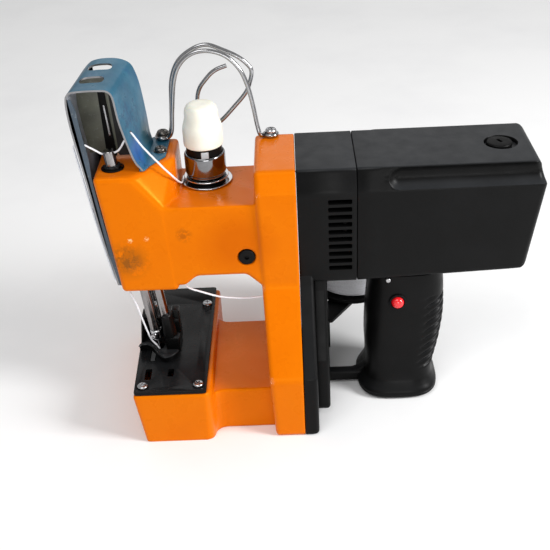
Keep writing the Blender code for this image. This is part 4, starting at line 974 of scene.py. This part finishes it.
def housing_section(x, bottom, inset):
    """Ring of (y, z) round the motor housing at x; past its round nose the cove sinks the two shoulders."""
    low = Vector((30.0 - inset, bottom + inset))
    shoulder = Vector((35.5 - inset, 175.2))
    top = Vector((30.6 - inset, 190.8 - inset))
    outline = [Vector((0, low.y)), low, shoulder, top, Vector((0, top.y))]
    right = []
    for i, radius in ((1, 5), (2, 3.5), (3, 3)):
        size = radius * (1.0 if x < NOSE_START - 4.0 or i == 1 else 0.45) * 0.6
        arc = corner_arc(outline[i - 1], outline[i], outline[i + 1], size, 5)
        right += arc
        if i == 2:
            start, end = arc[-1], top + (shoulder - top).normalized() * size
            run = end - start
            inward = Vector((-run.y, run.x)).normalized()
            for k in range(1, COVE_STEPS):
                t = k / COVE_STEPS
                right.append(start + run * t + inward * cove_depth(x, t))
    return mirrored([(p.x, p.y) for p in right])


def rear_x(z):
    """The housing's rear face leans and bulges a little."""
    heights = ((104, 245), (110, 246.2), (150, 252.6), (174.7, 254.4), (191, 249.6))
    for (low, a), (high, b) in zip(heights, heights[1:]):
        if z <= high:
            t = max(0, (z - low) / (high - low))
            return a + (b - a) * t
    return heights[-1][1]


def make_housing():
    """The motor housing with its leaning rear face, and the two brush caps let into it."""
    start, bottom_start, bottom_end = 131.7, 104.8, 109.2
    stations = [(start, 0.5), (start + 0.15, 0.2), (start + 0.5, 0), (144.4, 0), (145.4, 0),
                (148, 0)]
    stations += [(NOSE_START + (NOSE_ROUND + NOSE_RUN) * i / 24, 0) for i in range(25)]
    stations += [(175.0 + 15.0 * i, 0) for i in range(5)]
    rings = []
    for x, inset in stations:
        bottom = bottom_start + 4.4 * (x - start) / 115.0
        rings.append([(x, y, z) for y, z in housing_section(x, bottom, inset)])
    past_nose, edge, steps = 240, 4, 7
    for k in range(steps + 1):
        angle = 0.5 * math.pi * k / steps
        inset = edge * (1.0 - math.cos(angle))
        back = edge * (1.0 - math.sin(angle))
        rings.append([(rear_x(z) - back, y, z) for y, z in housing_section(past_nose, bottom_end, inset)])
    housing = publish("housing_body", loft(rings), HOUSING, node="motor_housing", angle=32)
    top_hole = [(0, 188.2), (10.7, 188.2), (10.9, 190), (11.6, 191.4), (0, 191.4)]
    bottom_hole = [(0, 104), (10.6, 104), (10.6, 111.8), (0, 111.8)]
    cut(housing, [turned(top_hole, (BRUSH_X + 1, 0, 0), UP, 64),
                  turned(bottom_hole, (BRUSH_X, 0, 0), UP, 64)])
    cap_profile = [(0, 0), (8.5, 0), (8.5, 2.4), (7.9, 3.1), (4, 3.4), (0, 3.4)]
    for name, sign, face in (("top", 1, 188.5), ("bottom", -1, 111.5)):
        cap = lathe(f"brush_cap_{name}_body", cap_profile, (BRUSH_X, 0, face), DARK, 0.5, (0, 0, sign), 56,
                    node=f"brush_cap_{name}")
        slot_at = face + sign * 3.4
        bar = soft_prism(box_outline((-1.1, -2.6), (1.1, 2.6)), slot_at - 1.6, slot_at + 1.6, "Z", 0.4,
                         (0.1, 0.1), 3)
        cut(cap, [turn_about(bar, (BRUSH_X, 0, 0), 28)])


def make_case():
    """Fan chamber with louvres, the flared plate behind the pillar and the belt cover on its back."""
    rings = []
    for x, inset in ((92.3, 0.5), (92.45, 0.2), (92.8, 0), (130.9, 0), (131.25, 0.2), (131.4, 0.5)):
        rings.append([(x, y, z) for y, z in housing_section(0, 104.7, inset)])
    case = publish("case_upper", loft(rings), HOUSING, node="drive_case", angle=32)
    cutters = [turned([(0, 112.5), (30.3, 112.5), (30.3, 135), (0, 135)], (0, 0, MOTOR_Z), ALONG, 64)]
    top_slot, slot_pitch, slots = 168.4, 5.87, 10
    for i in range(slots):
        z = top_slot - slot_pitch * i
        for outer, inner in ((-40, -22), (40, 22)):
            slot = [(outer, z - 1.9), (outer, z + 1.7), (inner, z + 4.2), (inner, z + 0.6)]
            cutters.append(soft_prism(slot, 112.4, 128.2, "X", 0.3, (0.9, 0.9), 2))
    cut(case, cutters, DARK)
    lower = mirrored([(67.5, 0), (67.5, 49), (33.7, 105), (30, 112)])
    publish("case_lower", soft_prism(lower, 92.3, 102, "X", [3, 4, 4, 2, 2, 4, 4, 3], (0.4, 3.2), 8),
            HOUSING)
    cover = mirrored([(46, 5), (46, 49), (27, 96), (26, 104.3)])
    publish("belt_cover_body", soft_prism(cover, 102.3, 111, "X", [4, 5, 6, 1, 1, 6, 5, 4], (0.3, 2.6), 8),
            HOUSING, node="belt_cover_rear")


# Height of each level, and the handle's front, rear and half width there.
HANDLE_LEVELS = ((0.3, 138.5, 187.5, 27.5), (1.2, 135.4, 190.6, 30), (2.4, 133.8, 191.8, 31),
                 (4, 132.8, 192.4, 31.2), (6.5, 133.2, 192, 30.6), (10, 135.6, 190, 28.6),
                 (14.5, 138.2, 188.6, 26.4), (22, 139.4, 189, 25.2), (44, 138.6, 193.2, 25),
                 (66, 139.4, 195.4, 25), (90, 141.2, 194.6, 25), (104.3, 141.6, 193.4, 25))
FAR_HALF_MOST = 26.5
SEAM_Z = 4.2
GROOVE_PITCH = 6.9
GROOVE_DEPTH = 2.6
SQUARENESS = 0.62


def level_at(z):
    """Front, rear and half width of the handle at a height, smoothly between the levels."""
    for k in range(len(HANDLE_LEVELS) - 1):
        if z <= HANDLE_LEVELS[k + 1][0]:
            break
    b, c = HANDLE_LEVELS[k], HANDLE_LEVELS[k + 1]
    a, d = HANDLE_LEVELS[max(k - 1, 0)], HANDLE_LEVELS[min(k + 2, len(HANDLE_LEVELS) - 1)]
    t = (z - b[0]) / (c[0] - b[0])
    values = []
    for i in (1, 2, 3):
        slope_b = (c[i] - a[i]) / max(1e-6, c[0] - a[0]) * (c[0] - b[0])
        slope_c = (d[i] - b[i]) / max(1e-6, d[0] - b[0]) * (c[0] - b[0])
        h = (2 * t ** 3 - 3 * t ** 2 + 1, t ** 3 - 2 * t ** 2 + t, -2 * t ** 3 + 3 * t ** 2, t ** 3 - t ** 2)
        values.append(h[0] * b[i] + h[1] * slope_b + h[2] * c[i] + h[3] * slope_c)
    return values


def handle_half(side):
    """One moulded half: a swept half ring closed along the parting face, with grip grooves at the back."""
    count = 44
    flare, grip_heights = [0.3 + 0.35 * i for i in range(12)], [4.6 + 0.75 * i for i in range(133)]
    rings = []
    for z in flare + grip_heights:
        front, rear, half = level_at(z)
        half = half if side < 0 else min(half, FAR_HALF_MOST)
        centre, reach = 0.5 * (front + rear), 0.5 * (rear - front)
        seam = 0.5 * math.exp(-((z - SEAM_Z) / 0.45) ** 2)
        ring = []
        for i in range(count + 1):
            c, s = math.cos(math.pi * i / count), math.sin(math.pi * i / count)
            x = math.copysign(abs(c) ** SQUARENESS, c)
            y = abs(s) ** SQUARENESS
            grip = ease(0.20, 0.52, c) * ease(22, 26, z) * (1.0 - ease(82, 86, z))
            phase = (z + 0.5 * (reach - x * reach)) / GROOVE_PITCH
            wave = (0.5 + 0.5 * math.cos(2 * math.pi * phase)) ** 3
            depth = seam + GROOVE_DEPTH * grip * wave
            ring.append((centre + x * (reach - depth), side * max(0.15, y * (half - depth * 0.9)), z))
        rings.append(ring)
    return loft(rings)


def make_handle():
    """The handle's halves, the push button in its collar, the screw and the brace to the case."""
    near = publish("handle_near_body", handle_half(-1), HANDLE, node="handle_near", angle=50)
    publish("handle_far_body", handle_half(1), HANDLE, node="handle_far", angle=50)
    middle = (BUTTON[0], 0, BUTTON[1])
    bore = [(0, -40), (5.3, -40), (5.3, -22.9), (4.9, -22.2), (4.9, -14), (0, -14)]
    cut(near, [turned(bore, middle, ACROSS, 48)], DARK)
    collar = [(5, -26.2), (6, -26.2), (6.3, -25.6), (6.3, -24), (5, -24)]
    lathe("button_collar", collar, middle, DARK, 0.3, ACROSS)
    dome = [(0, -29.4), (1.6, -29.2), (3, -28.6), (4, -27.5), (4.45, -26), (4.45, -19.2), (0, -19.2)]
    lathe("button_body", dome, middle, RED, 0.6, ACROSS, body="button", node="trigger_button", angle=60)
    brace = soft_prism(box_outline((-8.3, 2), (-0.3, 10.4)), 111.2, 142, "X", 1.8, (0.3, 0.3))
    publish("handle_brace", brace, HANDLE)
    web = [(126, 2.6), (142, 2.6), (142, 19), (136.6, 14.6), (132, 11.4), (127, 9.8)]
    publish("handle_brace_web", soft_prism(web, -7.7, -0.9, "Y", 1, (0.8, 0.8)), HANDLE)
    screw = [(0, -26.2), (1.3, -26.2), (1.9, -25.7), (1.9, -23), (0, -23)]
    lathe("handle_screw", screw, (153.4, 0.3, 101.2), SCREW, 0.3, ACROSS, 32)


def cone_radius(t):
    """The cone's radius part of the way up, drawn in at both ends."""
    return 28.0 - 11.4 * t - (1.6 * (1 - ease(0, 0.03, t)) + 2.4 * ease(0.965, 1, t))


def make_spool():
    """The plate and its bracket behind the case, and the cone of cross-wound thread."""
    base = (*CONE, 0)
    plate = [(0, 38), (30.6, 38), (31.5, 38.8), (31.5, 40.4), (30.6, 41), (4, 41), (4, 118),
             (2.4, 120), (0, 120)]
    lathe("spool_plate_body", plate, base, NAVY, 0.4, count=72, node="spool_plate")
    arm = [(111.4, 22), (116, 22), (142, 60), (142, 82), (128, 82), (111.4, 44)]
    publish("spool_arm", soft_prism(arm, 34.7, 37.7, "Z", 2, (0.5, 0.5)), NAVY, node="spool_bracket")
    flange = [(18, 14), (38, 14), (44, 37.4), (20, 37.4)]
    publish("spool_flange", soft_prism(flange, 111.4, 114, "X", 1.6, (0.3, 0.6)), NAVY)
    rings = []
    count, rows = 150, 170
    for k in range(rows + 1):
        t = k / rows
        z = 43.0 + 87.0 * t
        ring = []
        for i in range(count):
            angle = 2 * math.pi * i / count
            wound = max(math.sin(2.9 * z + 3 * angle), math.sin(2.9 * z - 3 * angle))
            size = cone_radius(t) + 0.28 * wound
            ring.append((CONE[0] + size * math.cos(angle), CONE[1] + size * math.sin(angle), z))
        rings.append(ring)
    publish("cone_winding", loft(rings), THREAD, "cone", "thread_cone", angle=80)
    tube = [(5, 41.4), (15, 41.4), (15.4, 42.8), (8, 44), (8, 129), (9.6, 134), (8.8, 134.2),
            (5, 129)]
    lathe("cone_tube", tube, base, IVORY, 0.3, body="cone")


# ---------------------------------------------------------------- thread

# Points along each strand; the take-up crosses the needle bar's top.
UPPER_THREAD = ((132, 54.6, 132), (126, 53, 140), (116, 50, 148), (96, 44, 154),
                (80, 40, 157), (66, 38.4, 159.5), (52, 35, 162), (42, 34, 162.5),
                (36.5, 34.6, 165.5), (35, 36, 175), (35.4, 36.6, 187), (36.4, 36, 197.5),
                (36.2, 34.4, 201.6), (35.6, 31, 201.8), (34.6, 28.4, 197), (30.5, 27, 186),
                (27.5, 25, 175.5), (23, 20.5, 170.9), (18, 13.5, 170.9), (15.4, 4, 170.9),
                (14.2, -5, 173.5), (11, -17, 184), (4, -21, 195), (-6, -18.6, 206.5),
                (-12, -15.6, 214.2), (-13.6, -14.8, 215.2), (-15.4, -15, 214))
TAKE_UP_RIGHT = ((-15, -15, 214.2), (-18, -15.8, 210), (-22, -17, 204.6), (-26.2, -17.4, 202.6))
TAKE_UP_LEFT = ((-31.4, -17.6, 202), (-34, -18.6, 203.6), (-38.5, -20, 207.4), (-43.8, -21.4, 211.4),
                (-49.8, -21.8, 211), (-49.6, -21.6, 204), (-48, -21, 190), (-43.2, -20.4, 150),
                (-38.6, -19.6, 118), (-36.6, -19.2, 107), (-34.2, -19, 103), (-32, -19.2, 101.4))
NEEDLE_THREAD = ((-32.2, -19.2, 101.6), (-28.4, -19.6, 97.6), (-24.6, -20, 87), (-21.8, -20.2, 74),
                 (-19.2, -19.6, 62), (-17.1, -19.1, 54.6), (-13.4, -18.9, 48.4), (-11.9, -18.6, 44),
                 (-11.6, -18.4, 41))
THROAT_THREAD = ((11, -23, 107), (14.5, -26, 102.6), (22.3, -26, 99), (33.8, -26, 94.6),
                 (42, -26, 93), (51.2, -26, 92.1), (60, -26, 92.2), (68, -26, 93.2))


STRAND_STEP = 0.7


def strand(name, points, body="frame", **ties):
    """Publishes twisted thread along a smooth line."""
    path = smooth_path(points, STRAND_STEP)
    return publish(name, sweep(path, twisted_section(THREAD_R)), THREAD, body, angle=80, **ties)


def stretch(name, points, start_body, end_body, reach=-1, **ties):
    """Publishes a strand on no body, its mesh baked where it lies; start_body, end_body and reach are not
    used.
    """
    piece = strand(name, points, None, **ties)
    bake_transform(piece)


def make_thread():
    """The upper thread, the take-up's two strands, the strands down to the needle and the loose one."""
    strand("thread_upper_strand", UPPER_THREAD, node="thread_upper")
    stretch("thread_take_up", TAKE_UP_RIGHT, "frame", "needle_bar", node="thread_needle")
    stretch("thread_guard_leg", TAKE_UP_LEFT[:4], "needle_bar", "frame", slot="thread_needle")
    strand("thread_down_leg", TAKE_UP_LEFT[3:], slot="thread_needle")
    stretch("thread_to_needle", NEEDLE_THREAD, "frame", "needle_bar", 4, slot="thread_needle")
    strand("thread_throat", THROAT_THREAD, slot="thread_upper")


CAD_LOOKS = (
    (STEEL, ("bed_cover", "main_shaft", "bearing_front", "bearing_rear", "connecting_rod", "rocker_pivot",
             "driven_pulley", "motor_pulley", "motor_bearing_front", "motor_bearing_rear", "looper",
             "looper_shaft", "presser_spring", "tension_spring", "tension_stud")),
    (LAMINATED, ("rocker_arm", "motor_stator")),
    (WINDING, ("armature",)),
    (DARK, ("motor_fan", "switch_body")),
    (RUBBER, ("drive_belt", "cord_gland")),
    (FOOT, ("feed_dog",)),
)
LEFT_SHARP = ("presser_spring", "tension_spring", "drive_belt")


def paint_cad_nodes():
    """Finishes for the CAD pieces that are shown as they are."""
    for material, names in CAD_LOOKS:
        for name in names:
            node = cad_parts[name]
            node.data.materials.clear()
            node.data.materials.append(material)
            if name not in LEFT_SHARP:
                modify(node, "BEVEL", width=0.25 * MM, segments=2, limit_method="ANGLE",
                       angle_limit=math.radians(40))


# ---------------------------------------------------------------- stage

def area_light(name, place, aim, size, power):
    """A white rectangular light aimed at a point; place, aim and size in metres."""
    data = bpy.data.lights.new(name, "AREA")
    data.shape = "RECTANGLE"
    data.size, data.size_y = size
    data.energy = power
    light = add_object(name, data)
    light.location = place
    light.rotation_euler = (Vector(aim) - Vector(place)).to_track_quat("-Z", "Y").to_euler()


def make_camera():
    """The camera at the photograph's viewing angle, aimed by its three axes."""
    data = bpy.data.cameras.new("camera")
    data.lens = 64.28
    data.sensor_width = 36.0
    data.clip_start = 0.01
    camera = add_object("camera", data)
    right = Vector((0.99890, -0.00091, -0.04678))
    up = Vector((0.04027, 0.52578, 0.84967))
    forward = Vector((-0.02382, 0.85062, -0.52524))
    camera.matrix_world = Matrix((
        (right.x, up.x, -forward.x, 0.09132),
        (right.y, up.y, -forward.y, -0.60274),
        (right.z, up.z, -forward.z, 0.46602),
        (0.0, 0.0, 0.0, 1.0)))
    bpy.context.scene.camera = camera


def make_stage():
    """Floor, even surroundings, four soft lights and the camera."""
    bm = bmesh.new()
    bmesh.ops.create_grid(bm, x_segments=1, y_segments=1, size=FLOOR_SIZE)
    add_object("floor", make_mesh("floor", bm, [FLOOR]))

    world = bpy.context.scene.world or bpy.data.worlds.new("world")
    bpy.context.scene.world = world
    world.use_nodes = True
    background = world.node_tree.nodes["Background"]
    background.inputs["Color"].default_value = (1.0, 1.0, 1.0, 1.0)
    background.inputs["Strength"].default_value = 0.45
    centre = (0.09, 0.0, 0.12)
    area_light("key", (-0.3, -0.75, 1.45), centre, (0.8, 0.8), 8.0)
    area_light("right", (1.25, -0.45, 0.75), centre, (0.4, 0.6), 19.0)
    area_light("fill", (0.25, -1.3, 0.22), (0.06, 0.0, 0.1), (0.6, 0.3), 2.6)
    area_light("back", (0.1, 1.3, 0.95), centre, (1.2, 0.5), 1.5)
    make_camera()
    bpy.context.scene.view_settings.view_transform = "Standard"


make_casting()
make_bed()
make_guard()
make_hanger()
make_tension()
make_needle_end()
make_presser_foot()
make_housing()
make_case()
make_handle()
make_spool()
make_thread()
paint_cad_nodes()
make_stage()
